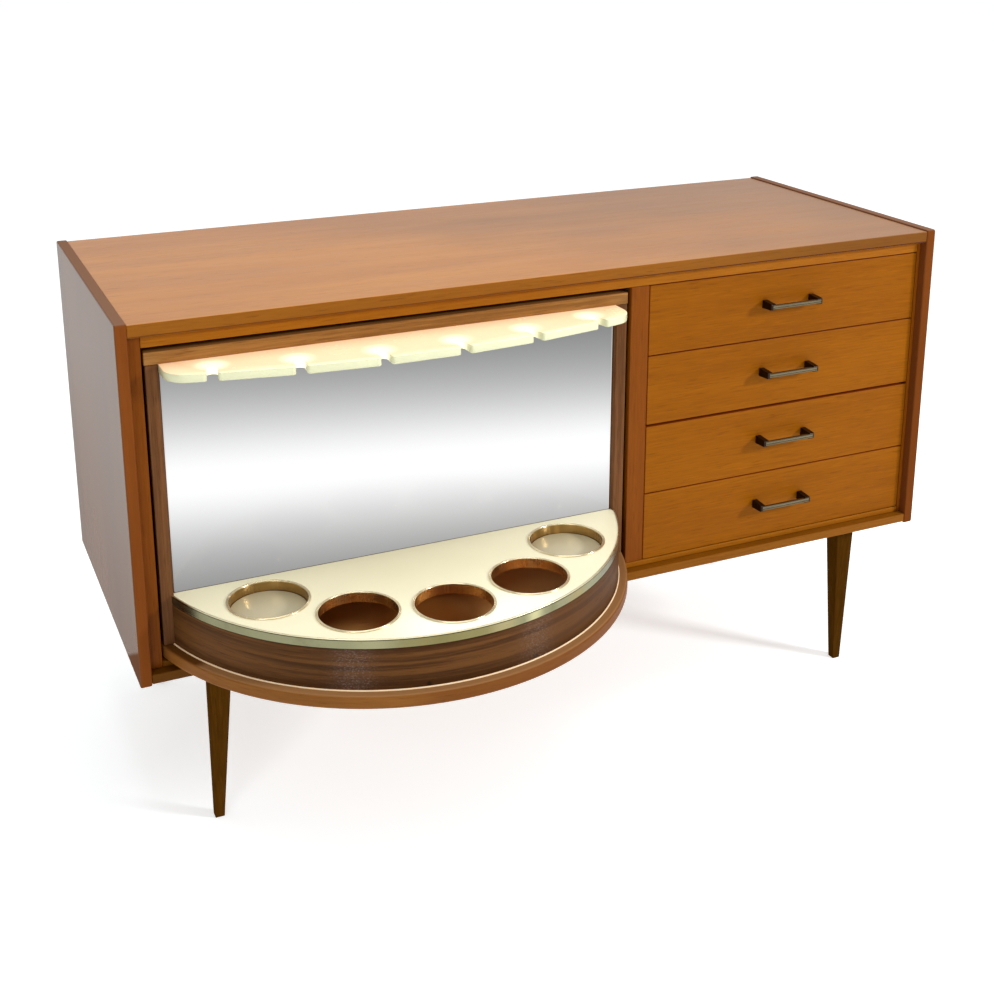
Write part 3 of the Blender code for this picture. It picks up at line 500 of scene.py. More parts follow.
def acrylic(name, shade, spots, reach):
    """Cream acrylic with a painted glow: a pool of painted light in each well, a glow on its top and
    warmth towards the back.

    The spots are the wells' centres and the reach is their radius.
    """
    finish = Finish(name)
    place = finish.place()
    x, y, _ = place
    lit = None
    # Pools of painted light, one in each well.
    for spot in spots:
        across, back = (x - spot[0]) / reach, (y - spot[1]) / reach
        painted_light_pool = 1.0 - (across * across + back * back).maths("SQRT").rise(0.1, 1.25)
        lit = painted_light_pool if lit is None else lit + painted_light_pool
    cloud = finish.even_noise(place, 30, 3)
    grain = finish.even_noise(place, 900)
    # Painted glow: strong on faces that look up, hardly any on the edges, warmer towards the back.
    level = finish.facing()[2].rise(0.3, 0.9)
    warmth = (y - low("glass_rack").y).rise(0.015, 0.075)
    edge, near, far = (0.01, 0.01, 0.0), (0.48, 0.35, 0.22), (0.56, 0.30, 0.17)
    well = (0.90, 0.84, 0.60)
    plain = finish.mix(level, edge, finish.mix(warmth, near, far))
    bright = finish.mix(lit.rise(0.0, 1.0), plain, well)
    return finish.shade(
        Base_Color=finish.mix((cloud + 0.5).rise(0.0, 1.0), toned(shade, 0.96), toned(shade, 1.03)),
        Roughness=0.26 + cloud * 0.1, Emission_Color=bright, Emission_Strength=1.0,
        Normal=finish.bump(grain, 0.000004))


def metal(name, shade, rough, stain, grain="ARC", extra=None):
    """Metal with drawn lines along its length and a stain that darkens it in places.

    Extra changes the finished colour.
    """
    finish = Finish(name)
    ways = grain_axes(finish, grain)
    along, across, depth = ways
    drawn = finish.noise(along * 5, across * 2600, depth * 2600, 2)
    patch = finish.even_noise(ways, 26, 3)
    spots = finish.even_noise(ways, 240)
    dull = (patch * 1.5 + spots * 0.5 + 0.45).rise(0.35, 0.95)
    tone = finish.mix((drawn + 0.5).rise(0.0, 1.0), toned(shade, 0.92), toned(shade, 1.08))
    tone = finish.mix(dull * stain, tone, toned(shade, 0.45, 0.06))
    if extra:
        tone = extra(finish, tone)
    return finish.shade(
        Base_Color=tone, Metallic=1.0, Roughness=rough + dull * 0.14 + drawn * 0.16,
        Normal=finish.bump(drawn, 0.000008))


def painted_mirror(name):
    """Mirror with a painted reflection that glows: a bright band on grey, with fine dust and a
    painted highlight along its right edge.
    """
    finish = Finish(name)
    place = finish.place()
    x, _, z = place
    # Painted reflection: a bright band across the mirror, given mostly as emission so that it glows.
    height, tilt, width = 0.468, 0.086, 0.0955
    away = (z - height + (x - PIVOT.x) * tilt) / width
    dust = finish.even_noise(place, 420)
    # Painted highlight: a pale line along the mirror's right edge.
    line, blur = 0.0018, 0.0006
    rim = (x - high("bar_mirror").x + line).rise(0.0, blur) * 0.35
    tone = 1.0 / (1.0 + away * away) + dust * 0.006 + 0.01
    tone = tone + (1.0 - tone) * rim
    black = (0.0, 0.0, 0.0)
    return finish.shade(
        Base_Color=finish.mix(tone, black, (0.05, 0.05, 0.05)),
        Emission_Color=finish.mix(tone, black, (0.93, 0.93, 0.935)), Emission_Strength=1.0,
        Roughness=0.10 + dust * 0.05, Specular_IOR_Level=0.20)


def fibreboard(name, shade):
    """Hardboard: matted fibres and dark specks."""
    finish = Finish(name)
    place = finish.place()
    x, y, z = place
    felt = finish.even_noise(place, 500, 4, 0.7)
    strand = finish.noise(x * 60, y * 400, z * 300, 3)
    speck = finish.even_noise(place, 900, 1).rise(0.18, 0.26)
    tone = (felt * 1.4 + strand * 0.6 + 0.5).rise(0.0, 1.0)
    body = finish.mix(tone, toned(shade, 0.72), toned(shade, 1.25))
    return finish.shade(
        Base_Color=finish.mix(speck * 0.6, body, toned(shade, 0.4)), Roughness=0.82 - felt * 0.1,
        Specular_IOR_Level=0.2, Normal=finish.bump(felt, 0.0002))


def plastic(name, shade, rough):
    """Moulded plastic with a fine spark-eroded grain."""
    finish = Finish(name)
    place = finish.place()
    grain = finish.even_noise(place, 2400)
    cloud = finish.even_noise(place, 60)
    return finish.shade(
        Base_Color=finish.mix((cloud + 0.5).rise(0.0, 1.0), toned(shade, 0.9), toned(shade, 1.12)),
        Roughness=rough + cloud * 0.1, Normal=finish.bump(grain, 0.00004))


def lamp_glass(name, glow):
    """Frosted tube of the lamp, brighter in the middle than at its ends."""
    finish = Finish(name)
    place = finish.place()
    half = (high("lamp_tube").x - low("lamp_tube").x) / 2
    ends = ((place[0] - PIVOT.x) / half).maths("ABSOLUTE").rise(0.90, 0.99)
    frost = finish.even_noise(place, 700)
    glass, cap = (0.92, 0.90, 0.84), (0.55, 0.54, 0.50)
    return finish.shade(
        Base_Color=finish.mix(ends, glass, cap),
        Roughness=0.35 + frost * 0.1,
        Emission_Color=finish.mix(ends, glow, (0.0, 0.0, 0.0)), Emission_Strength=1.4)


def matt(name, shade, light):
    """Plain pale floor, with hardly any gloss and a light of its own."""
    finish = Finish(name)
    return finish.shade(Base_Color=opaque(shade), Roughness=0.9, Specular_IOR_Level=0.1,
                        Emission_Color=(1, 1, 1, 1), Emission_Strength=light)


def dress(material, *nodes):
    """Gives pieces of the model their material."""
    for name in nodes:
        node = frame["nodes"][name]
        if node.material_slots:
            for holder in node.material_slots:
                holder.material = material
        else:
            node.data.materials.append(material)


def add_piece(name, shape, material, body, slot, *nodes):
    """Piece from a bmesh that rides on a body and may stand for pieces of the model."""
    mesh = bpy.data.meshes.new(name)
    shape.to_mesh(mesh)
    shape.free()
    mesh.shade_smooth()
    mesh.set_sharp_from_angle(angle=SHARP_ANGLE)
    mesh.materials.append(material)
    piece = bpy.data.objects.new(name, mesh)
    bpy.context.scene.collection.objects.link(piece)
    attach(piece, body)
    if nodes:
        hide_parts(*nodes)
    return piece


def soften(piece, width, steps=3):
    """Rounds a piece's sharp edges."""
    rounding = piece.modifiers.new("Softened edges", "BEVEL")
    rounding.width = width
    rounding.segments = steps
    rounding.limit_method = "ANGLE"
    rounding.angle_limit = SHARP_ANGLE
    rounding.harden_normals = True


def cut(piece, shape):
    """Cuts a bmesh out of a piece, and applies the piece's modifiers."""
    mesh = bpy.data.meshes.new("cutter")
    shape.to_mesh(mesh)
    shape.free()
    cutter = bpy.data.objects.new("cutter", mesh)
    bpy.context.scene.collection.objects.link(cutter)
    step = piece.modifiers.new("Cut", "BOOLEAN")
    step.operation = "DIFFERENCE"
    step.solver = "EXACT"
    step.object = cutter
    settle(piece)
    bpy.data.objects.remove(cutter, do_unlink=True)


def settle(piece):
    """Applies a piece's modifiers."""
    bpy.context.view_layer.update()
    seen = piece.evaluated_get(bpy.context.evaluated_depsgraph_get())
    whole = bpy.data.meshes.new_from_object(seen)
    whole.shade_smooth()
    whole.set_sharp_from_angle(angle=SHARP_ANGLE)
    piece.modifiers.clear()
    piece.data = whole


def merged(shapes):
    """One bmesh that holds several closed shapes."""
    whole = bmesh.new()
    for shape in shapes:
        mesh = bpy.data.meshes.new("shape")
        shape.to_mesh(mesh)
        shape.free()
        whole.from_mesh(mesh)
        bpy.data.meshes.remove(mesh)
    return whole


def arc(radius, start, end, steps, centre=(0, 0)):
    """Points of an arc, both ends included, with angles in radians."""
    angles = [start + (end - start) * step / steps for step in range(steps + 1)]
    return [(centre[0] + radius * math.cos(a), centre[1] + radius * math.sin(a)) for a in angles]


def prism(outline, floor, ceiling, axis=2):
    """Bmesh of a flat outline drawn out along an axis, 0 to 2 for X to Z."""
    shape = bmesh.new()
    corners = []
    for point in outline:
        spot = list(point)
        spot.insert(axis, floor)
        corners.append(shape.verts.new(spot))
    drawn = bmesh.ops.extrude_face_region(shape, geom=[shape.faces.new(corners)])
    far = [item for item in drawn["geom"] if isinstance(item, bmesh.types.BMVert)]
    travel = [0, 0, 0]
    travel[axis] = ceiling - floor
    bmesh.ops.translate(shape, verts=far, vec=travel)
    bmesh.ops.recalc_face_normals(shape, faces=shape.faces)
    return shape


def turned(profile, place, steps=ROUND_STEPS):
    """Bmesh of a closed profile of radii and heights, turned about an upright axis."""
    shape = bmesh.new()
    points = [shape.verts.new((radius, 0, height)) for radius, height in profile]
    lines = [shape.edges.new(pair) for pair in zip(points, points[1:])]
    if profile[0][0] > 0:
        lines.append(shape.edges.new((points[-1], points[0])))
    bmesh.ops.spin(shape, geom=points + lines, cent=(0, 0, 0), axis=(0, 0, 1),
                   angle=math.tau, steps=steps, use_merge=True)
    bmesh.ops.remove_doubles(shape, verts=shape.verts, dist=MERGE)
    bmesh.ops.recalc_face_normals(shape, faces=shape.faces)
    bmesh.ops.translate(shape, verts=shape.verts, vec=place)
    return shape


def bent(profile, chord):
    """Bmesh of a closed cross-section of radii and heights, swept round the pivot's front.

    Its ends lie on the straight line that is chord behind the pivot.
    """
    shape = bmesh.new()
    rings = []
    for step in range(ARC_STEPS + 1):
        ring = []
        for radius, height in profile:
            lift = math.asin(chord / radius)
            angle = lift - (math.pi + 2 * lift) * step / ARC_STEPS
            ring.append(shape.verts.new((PIVOT.x + radius * math.cos(angle),
                                         PIVOT.y + radius * math.sin(angle), height)))
        rings.append(ring)
    for near, far in zip(rings, rings[1:]):
        for first in range(len(profile)):
            second = (first + 1) % len(profile)
            shape.faces.new((near[first], near[second], far[second], far[first]))
    shape.faces.new(rings[0])
    shape.faces.new(rings[-1][::-1])
    bmesh.ops.recalc_face_normals(shape, faces=shape.faces)
    return shape


def half_round(radius, chord):
    """Outline of the half-round front about the pivot, closed by a straight back."""
    lift = math.asin(chord / radius)
    return arc(radius, lift, -math.pi - lift, ARC_STEPS, PIVOT.xy)


def cup_place(node):
    """Centre of a cup on the tray's top."""
    middle = (low(node) + high(node)) / 2
    return Vector((middle.x, middle.y, TRAY_TOP))


def make_case(look):
    """Finishes of the case, its frame and its boards."""
    def sides_painted_light_and_shade(finish, veneer):
        """Side panels with a painted dark reflection at the lower front corner, painted sheen on
        their upper edges and painted shade on the right panel's edges and inner face.
        """
        outside = 1.0 - inside_the_panel(finish)
        # Painted reflection: a dark patch at the lower front corner.
        veneer = finish.mix(painted_dark_reflection(finish) * outside, veneer, look.corner)
        # Painted shade on the right panel's edges and inner face, in the recess.
        right = finish.place()[0].rise(0.0, 0.5) * (1.0 - outside) * 0.30
        veneer = finish.mix(right, veneer, toned(look.edge, 0.35, 0.10))
        # Painted sheen: paler on faces that look up.
        return finish.mix(upward(finish), veneer, look.painted_light_on_tops)

    def top_painted_shade(finish, veneer):
        """Top with painted shade, darker towards its right end, and a painted shadow line at the foot
        of its lipping.
        """
        x, y, z = finish.place()
        patch = finish.noise(x * 3.0, y * 7.0, z, 2)
        # Painted shade: the upper face darker towards the right end.
        share = (x * 0.9 + y * 0.8 + patch * 0.9 + 0.26).rise(0.0, 1.0)
        veneer = finish.mix(share * 0.82 * upward(finish), veneer, look.top_painted_shade)
        # The front edge is darker towards the right end as well.
        edge = front_and_back(finish)
        veneer = finish.mix(x.rise(0.0, 0.45) * edge * 0.55, veneer, toned(look.rail, 0.42))
        # Painted shadow: a dark line under the lipping, where it shades the rail.
        line, blur = 0.0022, 0.0005
        painted_shadow_line = (low("top_board").z + line - z).rise(0.0, blur) * edge
        strength = x.rise(-0.2, 0.3) * 0.35 + 0.6
        return finish.mix(painted_shadow_line * strength, veneer, toned(look.joint, 0.25))

    def shaded(finish, veneer):
        """Rail or board with painted shade at its left end."""
        left_end = (-0.30 - finish.place()[0]).rise(0.0, 0.12) * 0.75
        return finish.mix(left_end, veneer, toned(look.rail, 0.30))

    dress(wood("side_veneer", look.side, "side", "Z", (look.edge, inside_the_panel),
               side_lacquer, extra=sides_painted_light_and_shade), "side_panel_left", "side_panel_right")
    dress(wood("top_veneer", look.top, "top", "X", (look.rail, front_and_back), top_lacquer,
               extra=top_painted_shade), "top_board")
    # The top rail and the runner racks are lighter copies of their teak and the left stile a darker
    # copy: painted light and shade in the recessed frame.
    dress(wood("rail_teak", toned(look.rail, 1.22), "frame", "X"), "face_rail_top")
    dress(wood("lower_rail_teak", toned(look.rail, 1.22), "frame", "X", extra=shaded),
          "face_rail_bottom")
    dress(wood("bottom_teak", toned(look.rail, 0.82), "frame", "X", extra=shaded), "bottom_board")
    dress(wood("left_stile_teak", toned(look.frame, 0.88), "frame", "Z"), "face_stile_left")
    dress(wood("stile_teak", look.frame, "frame", "Z"), "face_stile_middle")
    dress(wood("rack_teak", toned(look.frame, 1.35), "frame", "Z"), "runner_rack_left",
          "runner_rack_right")
    dress(wood("divider_beech", look.beech, "beech", "Z"), "divider_panel")


def painted_dark_reflection(finish):
    """1 at the lower front corner of a side panel, where a dark reflection is painted and the lacquer
    is left off.
    """
    _, y, z = finish.place()
    corner = low("side_panel_left")
    height, slope = 0.051, 0.55
    return (corner.z + height - z + (corner.y - y) * slope).rise(-0.003, 0.004)


def side_lacquer(finish):
    """Gloss of a side panel's faces, duller below and none at the lower front corner, where a dark
    reflection is painted.
    """
    height = finish.place()[2] - low("side_panel_left").z
    gloss = height.rise(0.0, 0.45) * 0.24 + 0.42
    flat = finish.facing()[0].maths("ABSOLUTE").rise(0.6, 0.9)
    return flat * (1.0 - painted_dark_reflection(finish)) * gloss


def top_lacquer(finish):
    """Gloss of the top's upper face."""
    return upward(finish) * 0.72


def make_back(look):
    """Back panel's finish, its screws and the gland."""
    dress(fibreboard("back_hardboard", look.board), "back_panel")
    dress(plastic("gland_rubber", (0.02, 0.02, 0.021), 0.5), "cable_gland")
    head, proud = 0.0038, 0.0011
    profile = [(0, 0), (head, 0), (head, proud * 0.4), (head * 0.8, proud),
               (head * 0.35, proud), (head * 0.25, proud * 0.3), (0, proud * 0.3)]
    tilt = Matrix.Rotation(-math.pi / 2, 4, "X")
    back = high("back_panel").y + FIT
    screws = []
    for x, z in screw_places():
        screw = turned(profile, (0, 0, 0), SCREW_STEPS)
        turn = Matrix.Translation((x, back, z)) @ tilt
        bmesh.ops.transform(screw, matrix=turn, verts=screw.verts)
        screws.append(screw)
    add_piece("back_screws", merged(screws), metal("screw_steel", (0.5, 0.5, 0.48), 0.35, 0.4, "X"),
              "cabinet", "steel")


def screw_places():
    """Where the back panel's screws stand, along its four edges."""
    floor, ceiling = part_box("back_panel")
    inset, across, up = 0.012, 5, 3
    left, right = floor.x + inset, ceiling.x - inset
    places = []
    for step in range(across + 1):
        x = left + (right - left) * step / across
        places += [(x, floor.z + inset), (x, ceiling.z - inset)]
    for step in range(1, up):
        z = floor.z + (ceiling.z - floor.z) * step / up
        places += [(left, z), (right, z)]
    return places


def make_legs(look):
    """Legs' finish; the right pair takes a darker copy of the stain, which is painted shade."""
    dress(wood("leg_stain", toned(look.leg, 1.05), "leg", "Z"), "leg_front_left", "leg_back_left")
    dress(wood("leg_stain_right_painted_shade", toned(look.leg, 0.78), "leg", "Z"), "leg_front_right",
          "leg_back_right")


def make_drawers(look):
    """Finishes of the drawers."""
    front = wood("drawer_veneer", look.teak, "teak", "X", (look.joint, around_the_front))
    wall = wood("drawer_beech", look.beech, "beech", "Y")
    rear = wood("drawer_back_beech", look.beech, "beech", "X")
    floor = fibreboard("drawer_hardboard", toned(look.board, 1.5))
    for number in DRAWERS:
        dress(front, f"drawer_{number}_front")
        dress(wall, f"drawer_{number}_side_left", f"drawer_{number}_side_right")
        dress(rear, f"drawer_{number}_back")
        dress(floor, f"drawer_{number}_bottom")


def handle_posts(floor, ceiling, sizes):
    """Two chamfered posts that carry a grip, slimmer where they meet the drawer."""
    width, set_back, chamfer = 0.0085, 0.001, 0.0014
    middle, half = (floor.z + ceiling.z) / 2, (ceiling.z - floor.z) / 2
    foot = sizes.post_foot / 2
    tip, back = floor.y + set_back, ceiling.y
    outline = [(tip + chamfer, middle - half), (back, middle - foot), (back, middle + foot),
               (tip + chamfer, middle + half), (tip, middle + half - chamfer),
               (tip, middle - half + chamfer)]
    return merged([prism(outline, left, left + width, 0) for left in (floor.x, ceiling.x - width)])


def handle_grip(floor, ceiling, sizes):
    """Bar with a groove along its front."""
    height, depth, inset, notch = 0.0060, 0.005, 0.0028, 0.0009
    middle, top, groove = (floor.z + ceiling.z) / 2, height / 2, sizes.groove / 2
    tip, back = floor.y, floor.y + depth
    outline = [(tip + notch, middle - top), (tip, middle - top + notch), (tip, middle - groove),
               (tip + notch, middle - groove * 0.5), (tip + notch, middle + groove * 0.5),
               (tip, middle + groove), (tip, middle + top - notch), (tip + notch, middle + top),
               (back, middle + top), (back, middle - top)]
    return prism(outline, floor.x + inset, ceiling.x - inset, 0)


def make_handles(look, sizes):
    """Bridge pulls: bronze posts and a brass grip between them."""
    post_finish = metal("handle_bronze", look.bronze, 0.36, 0.3, "X")
    grip_finish = metal("handle_grip", look.grip, 0.30, 0.35, "X")
    rounding = 0.0007
    for number in DRAWERS:
        drawer, node = f"drawer_{number}", f"drawer_{number}_handle"
        floor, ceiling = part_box(node)
        posts = add_piece(f"{drawer}_posts", handle_posts(floor, ceiling, sizes), post_finish,
                          drawer, "bronze")
        soften(posts, rounding, 2)
        add_piece(f"{drawer}_grip", handle_grip(floor, ceiling, sizes), grip_finish, drawer,
                  "bronze", node)


def make_box(look):
    """Finishes of the turning cabinet's box and its door."""
    dress(wood("box_walnut", look.box, "box", "Z", core=below_tray), "bar_side_left",
          "bar_side_right", "bar_partition")
    # Painted light: the box's top takes a lighter copy of its walnut.
    dress(wood("box_walnut_top", look.box_top_lit, "box", "X"), "bar_top")
    dress(wood("door_veneer", look.teak, "teak", "X"), "bar_door")


def below_tray(finish):
    """1 on the box's inner faces below the tray, where the wood is bare."""
    x, _, z = finish.place()
    inside = (x - PIVOT.x).maths("ABSOLUTE").maths("LESS_THAN", BOX_INNER + FIT)
    return inside * z.maths("LESS_THAN", TRAY_LOW) * z.maths("GREATER_THAN", BASE_TOP)


def inside_the_fascia(radius):
    """1 nearer to the pivot than the middle of the fascia, where the wood is bare."""
    return radius.maths("LESS_THAN", FASCIA_RADIUS - FASCIA_THICKNESS / 2)


def make_base(look, sizes):
    """Half-round base board with a rounded rim."""
    def bare(finish):
        """1 on the board's top inside the drum."""
        _, radius, height = round_the_pivot(finish)
        return inside_the_fascia(radius) * height.maths("GREATER_THAN", BASE_TOP - FIT)

    def painted_light_on_tops(finish, veneer):
        """Board that is darker to the right, with a painted reflection that makes its top paler and
        painted shade at the top's left end.
        """
        along, radius, height = round_the_pivot(finish)
        level = finish.facing()[2].rise(0.5, 0.95)
        veneer = finish.mix(along.rise(-0.11, -0.03) * 0.5, veneer, toned(look.rim, 0.5, 0.4))
        # Painted shade at the top's left end, with a ragged edge; painted reflection on the rest of
        # the top.
        ragged = finish.noise(along * 30, radius * 60, height, 2) * 0.03
        share = (along + ragged).rise(-0.376, -0.354)
        return finish.mix(level * 0.8, veneer, finish.mix(share, look.ledge_shade, look.ledge))

    outline = half_round(BASE_RADIUS, BASE_CHORD)
    base = add_piece("base_board", prism(outline, low("bar_base").z, BASE_TOP),
                     wood("rim_teak", look.rim, "frame", "ARC", core=bare, extra=painted_light_on_tops), "bar",
                     "teak_frame", "bar_base")
    soften(base, sizes.rim_round, 5)


def make_fascia(look, sizes):
    """Bent walnut front, with a pale bead where it stands on the base, partly a painted highlight."""
    def bare(finish):
        """1 on the inner face."""
        return inside_the_fascia(round_the_pivot(finish)[1])

    def marks(finish, veneer):
        """Veneer with its marks."""
        return marked(finish, veneer, look.walnut_light)

    inner = FASCIA_RADIUS - FASCIA_THICKNESS
    floor, ceiling = low("bar_fascia").z, high("bar_fascia").z
    profile = [(inner, floor), (FASCIA_RADIUS, floor), (FASCIA_RADIUS, ceiling), (inner, ceiling)]
    add_piece("fascia", bent(profile, DRUM_CHORD),
              wood("fascia_walnut", look.walnut, "walnut", "ARC", core=bare, extra=marks),
              "bar", "walnut", "bar_fascia")
    # The pale bead is trim that also stands for the highlight along the fascia's foot: partly painted
    # highlight.
    proud = sizes.bead
    start = FASCIA_RADIUS + FIT
    profile = [(start, BASE_TOP), (start + proud, BASE_TOP), (start + proud, BASE_TOP + proud * 0.4),
               (start + proud * 0.5, BASE_TOP + proud), (start, BASE_TOP + proud)]
    add_piece("fascia_foot_line", bent(profile, DRUM_CHORD),
              wood("foot_line_beech", (0.98, 0.72, 0.46), "beech", "ARC"), "bar", "beech")


def marked(finish, veneer, light):
    """Knots and strips of painted glints on the pores; the left part is paler, the right calmer, the
    ends dark.
    """
    calm, dark, knot = (0.088, 0.034, 0.009), (0.05, 0.018, 0.004), (0.020, 0.009, 0.004)
    painted_haze, painted_glint, painted_glint_shade = (0.17, 0.105, 0.080), (0.32, 0.245, 0.215), (0.045, 0.022, 0.010)
    knot_width, knot_height, strip_width = 0.0032, 0.0030, 0.022
    along, radius, height = round_the_pivot(finish)
    floor = low("bar_fascia").z
    veneer = finish.mix((-0.10 - along).rise(0.0, 0.22) * 0.06, veneer, light)
    veneer = finish.mix(along.rise(-0.02, 0.16) * 0.55, veneer, calm)
    ends = (along - 0.12).rise(0.0, 0.20) * 0.30 + (-0.40 - along).rise(0.0, 0.11) * 0.55
    veneer = finish.mix(ends, veneer, dark)
    for way, rise in KNOTS:
        away, up = (along - way) / knot_width, (height - floor - rise) / knot_height
        share = (1.0 / (1.0 + away * away + up * up)).rise(0.25, 0.8)
        veneer = finish.mix(share, veneer, knot)
    # Painted highlights: a haze and glinting pores in each strip.
    pore = finish.noise(along * 420, height * 1000, radius, 2)
    for way, strength in PAINTED_GLINTS:
        away = (along - way) / strip_width
        strip = (1.0 / (1.0 + away * away * away * away)) * strength
        veneer = finish.mix(strip * 0.6, veneer, painted_haze)
        veneer = finish.mix(pore.rise(0.03, 0.16) * strip, veneer, painted_glint)
        veneer = finish.mix((0.0 - pore).rise(0.05, 0.16) * strip, veneer, painted_glint_shade)
    return veneer


def make_band(look, sizes):
    """Brass band round the tray, with a lip over its edge and a groove under the lip."""
    lip, rise = sizes.band_lip, 0.0005
    outer, inner = FASCIA_RADIUS, TRAY_RADIUS + FIT
    crest, bend = TRAY_TOP + FIT + rise, rise * 1.4
    roll = arc(bend, 0, math.pi / 2, CORNER_STEPS // 2, (outer - bend, crest - bend))
    groove, depth = crest - sizes.band_bead, sizes.band_groove
    notch = outer - depth / 2
    profile = [(inner, TRAY_LOW), (notch, TRAY_LOW), (outer, TRAY_LOW + depth / 2),
               (outer, groove - depth), (notch, groove - depth), (notch, groove), (outer, groove),
               *roll, (outer - lip, crest), (outer - lip - rise, TRAY_TOP + FIT),
               (inner, TRAY_TOP + FIT)]

    def finished(finish, tone):
        """Band with painted reflections in brighter and darker stretches, a painted highlight on its
        bead and painted shade in its groove.
        """
        along, _, height = round_the_pivot(finish)
        # Painted reflections along the band.
        painted_bright_stretch = finish.noise(along * 7, 3.7, 1.3, 2).rise(0.0, 0.25) * 0.5
        tone = finish.mix(painted_bright_stretch, tone, toned(look.brass, 1.9, 0.02))
        painted_olive_reflection = 1.0 - (along + 0.03).maths("ABSOLUTE").rise(0.03, 0.11)
        tone = finish.mix(painted_olive_reflection * 0.8, tone, (0.185, 0.150, 0.052))
        for way, reach, shade in BAND_PAINTED_REFLECTIONS:
            patch = 1.0 - (along - way).maths("ABSOLUTE").rise(0.0, reach)
            tone = finish.mix(patch * 0.85, tone, shade)
        # Painted highlight on the bead and painted shade in the groove below it.
        over = height.rise(groove, groove + FIT)
        tone = finish.mix(over, tone, look.bead)
        dark = height.rise(groove - depth - FIT, groove - depth) * (1.0 - over)
        return finish.mix(dark, tone, toned(look.brass, 0.35, 0.1))

    add_piece("edge_band", bent(profile, DRUM_CHORD),
              metal("band_brass", look.brass, 0.28, 0.25, extra=finished), "bar", "brass",
              "bar_edge_band")


def make_tray(look):
    """Laminate tray with its five round holes."""
    tongue, back = BOX_INNER - FIT, high("bar_tray").y
    shoulder = PIVOT.y + DRUM_CHORD
    outline = half_round(TRAY_RADIUS, DRUM_CHORD)
    outline += [(PIVOT.x - tongue, shoulder), (PIVOT.x - tongue, back),
                (PIVOT.x + tongue, back), (PIVOT.x + tongue, shoulder)]
    tray = add_piece("tray", prism(outline, TRAY_LOW, TRAY_TOP),
                     laminate("tray_laminate", look.laminate), "bar", "cream_laminate", "bar_tray")
    hole = cup_outer() + FIT
    holes = []
    for node in CUP_NODES:
        circle = arc(hole, 0, math.tau, ROUND_STEPS, cup_place(node).xy)[:-1]
        holes.append(prism(circle, TRAY_LOW - OVERRUN, TRAY_TOP + OVERRUN))
    cut(tray, merged(holes))


def cup_outer():
    """Outer radius of a cup's wall."""
    return (high("bottle_dish_1").x - low("bottle_dish_1").x) / 2 - CUP_FLANGE


def cup_rim():
    """Profile of a cup's flange: two beads with a groove between them."""
    wall = cup_outer()
    bore, edge = wall - CUP_WALL, wall + CUP_FLANGE
    top = high("bottle_dish_1").z - TRAY_TOP
    bead = (edge - bore) / 4
    base = top - bead
    outer = arc(bead, 0, math.pi, CORNER_STEPS, (edge - bead, base))
    inner = arc(bead, 0, math.pi, CORNER_STEPS, (bore + bead, base))
    return [(wall, FIT), (edge, FIT)] + outer + inner[1:]


def dish_lining(bore, floor):
    """Profile of the pale disc on a dish's floor."""
    gap, thickness, slope, drop = 0.0008, 0.0012, 0.0006, 0.0004
    edge, top = bore - gap, floor + thickness
    return [(0, floor + FIT), (edge, floor + FIT), (edge, top - drop), (edge - slope, top),
            (0, top)]


def make_cups(look):
    """Brass rings in the tray, two of them with a pale floor."""
    def finished(finish, tone):
        """Wall with painted highlights in upright streaks, below a flange with a painted highlight.
        """
        x, y, z = finish.place()
        streak = finish.noise(x * 170, y * 170, z * 4, 2).rise(0.02, 0.22) * 0.45
        tone = finish.mix(streak, tone, toned(look.ring, 1.9, 0.02))
        return finish.mix(z.rise(TRAY_TOP - FIT, TRAY_TOP + FIT), tone, look.flange)

    brass = metal("ring_brass", look.ring, 0.20, 0.30, "Z", finished)
    # Painted light: the open rings' walls take a much lighter copy of the brass.
    lit_open_brass = metal("open_ring_brass", look.ring_open_lit, 0.24, 0.12, "Z", finished)
    pale = laminate("dish_lining", toned(look.laminate, 0.62, 0.06))
    wall = cup_outer()
    bore = wall - CUP_WALL
    for node in CUP_NODES:
        bottom = low(node).z - TRAY_TOP
        if "dish" in node:
            floor = bottom + CUP_WALL
            profile = [(0, bottom), (wall, bottom)] + cup_rim() + [(bore, floor), (0, floor)]
            lining = turned(dish_lining(bore, floor), cup_place(node))
            add_piece(node.replace("dish", "lining"), lining, pale, "bar", "cream_laminate")
            inside = brass
        else:
            profile = [(bore, bottom), (wall, bottom)] + cup_rim()
            inside = lit_open_brass
        add_piece(node.replace("bottle", "brass"), turned(profile, cup_place(node)), inside, "bar",
                  "brass", node)


def rack_outline(sizes):
    """Glass rack seen from above: a shallow front arc with round corners and its slots."""
    floor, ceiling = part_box("glass_rack")
    half = (ceiling.x - floor.x) / 2
    radius, corner = sizes.rack_arc, sizes.rack_corner
    centre_y = floor.y + radius
    corner_x = half - corner
    corner_y = centre_y - math.sqrt((radius - corner) ** 2 - corner_x ** 2)
    turn = math.atan2(corner_y - centre_y, corner_x)
    right = arc(corner, 0, turn, 3 * CORNER_STEPS, (corner_x, corner_y))
    outline = [(half, ceiling.y)] + right
    for turned_by in reversed(slot_turns(sizes)):
        outline += slot_outline(sizes, radius, centre_y, turned_by)
    outline += [(-x, y) for x, y in reversed(right)] + [(-half, ceiling.y)]
    return [(PIVOT.x + x, y) for x, y in outline]


def slot_turns(sizes):
    """Angle of each slot round the front arc's centre, from left to right."""
    pitch, middle = sizes.slot_pitch / sizes.rack_arc, (sizes.slot_count - 1) / 2
    return [(number - middle) * pitch for number in range(sizes.slot_count)]


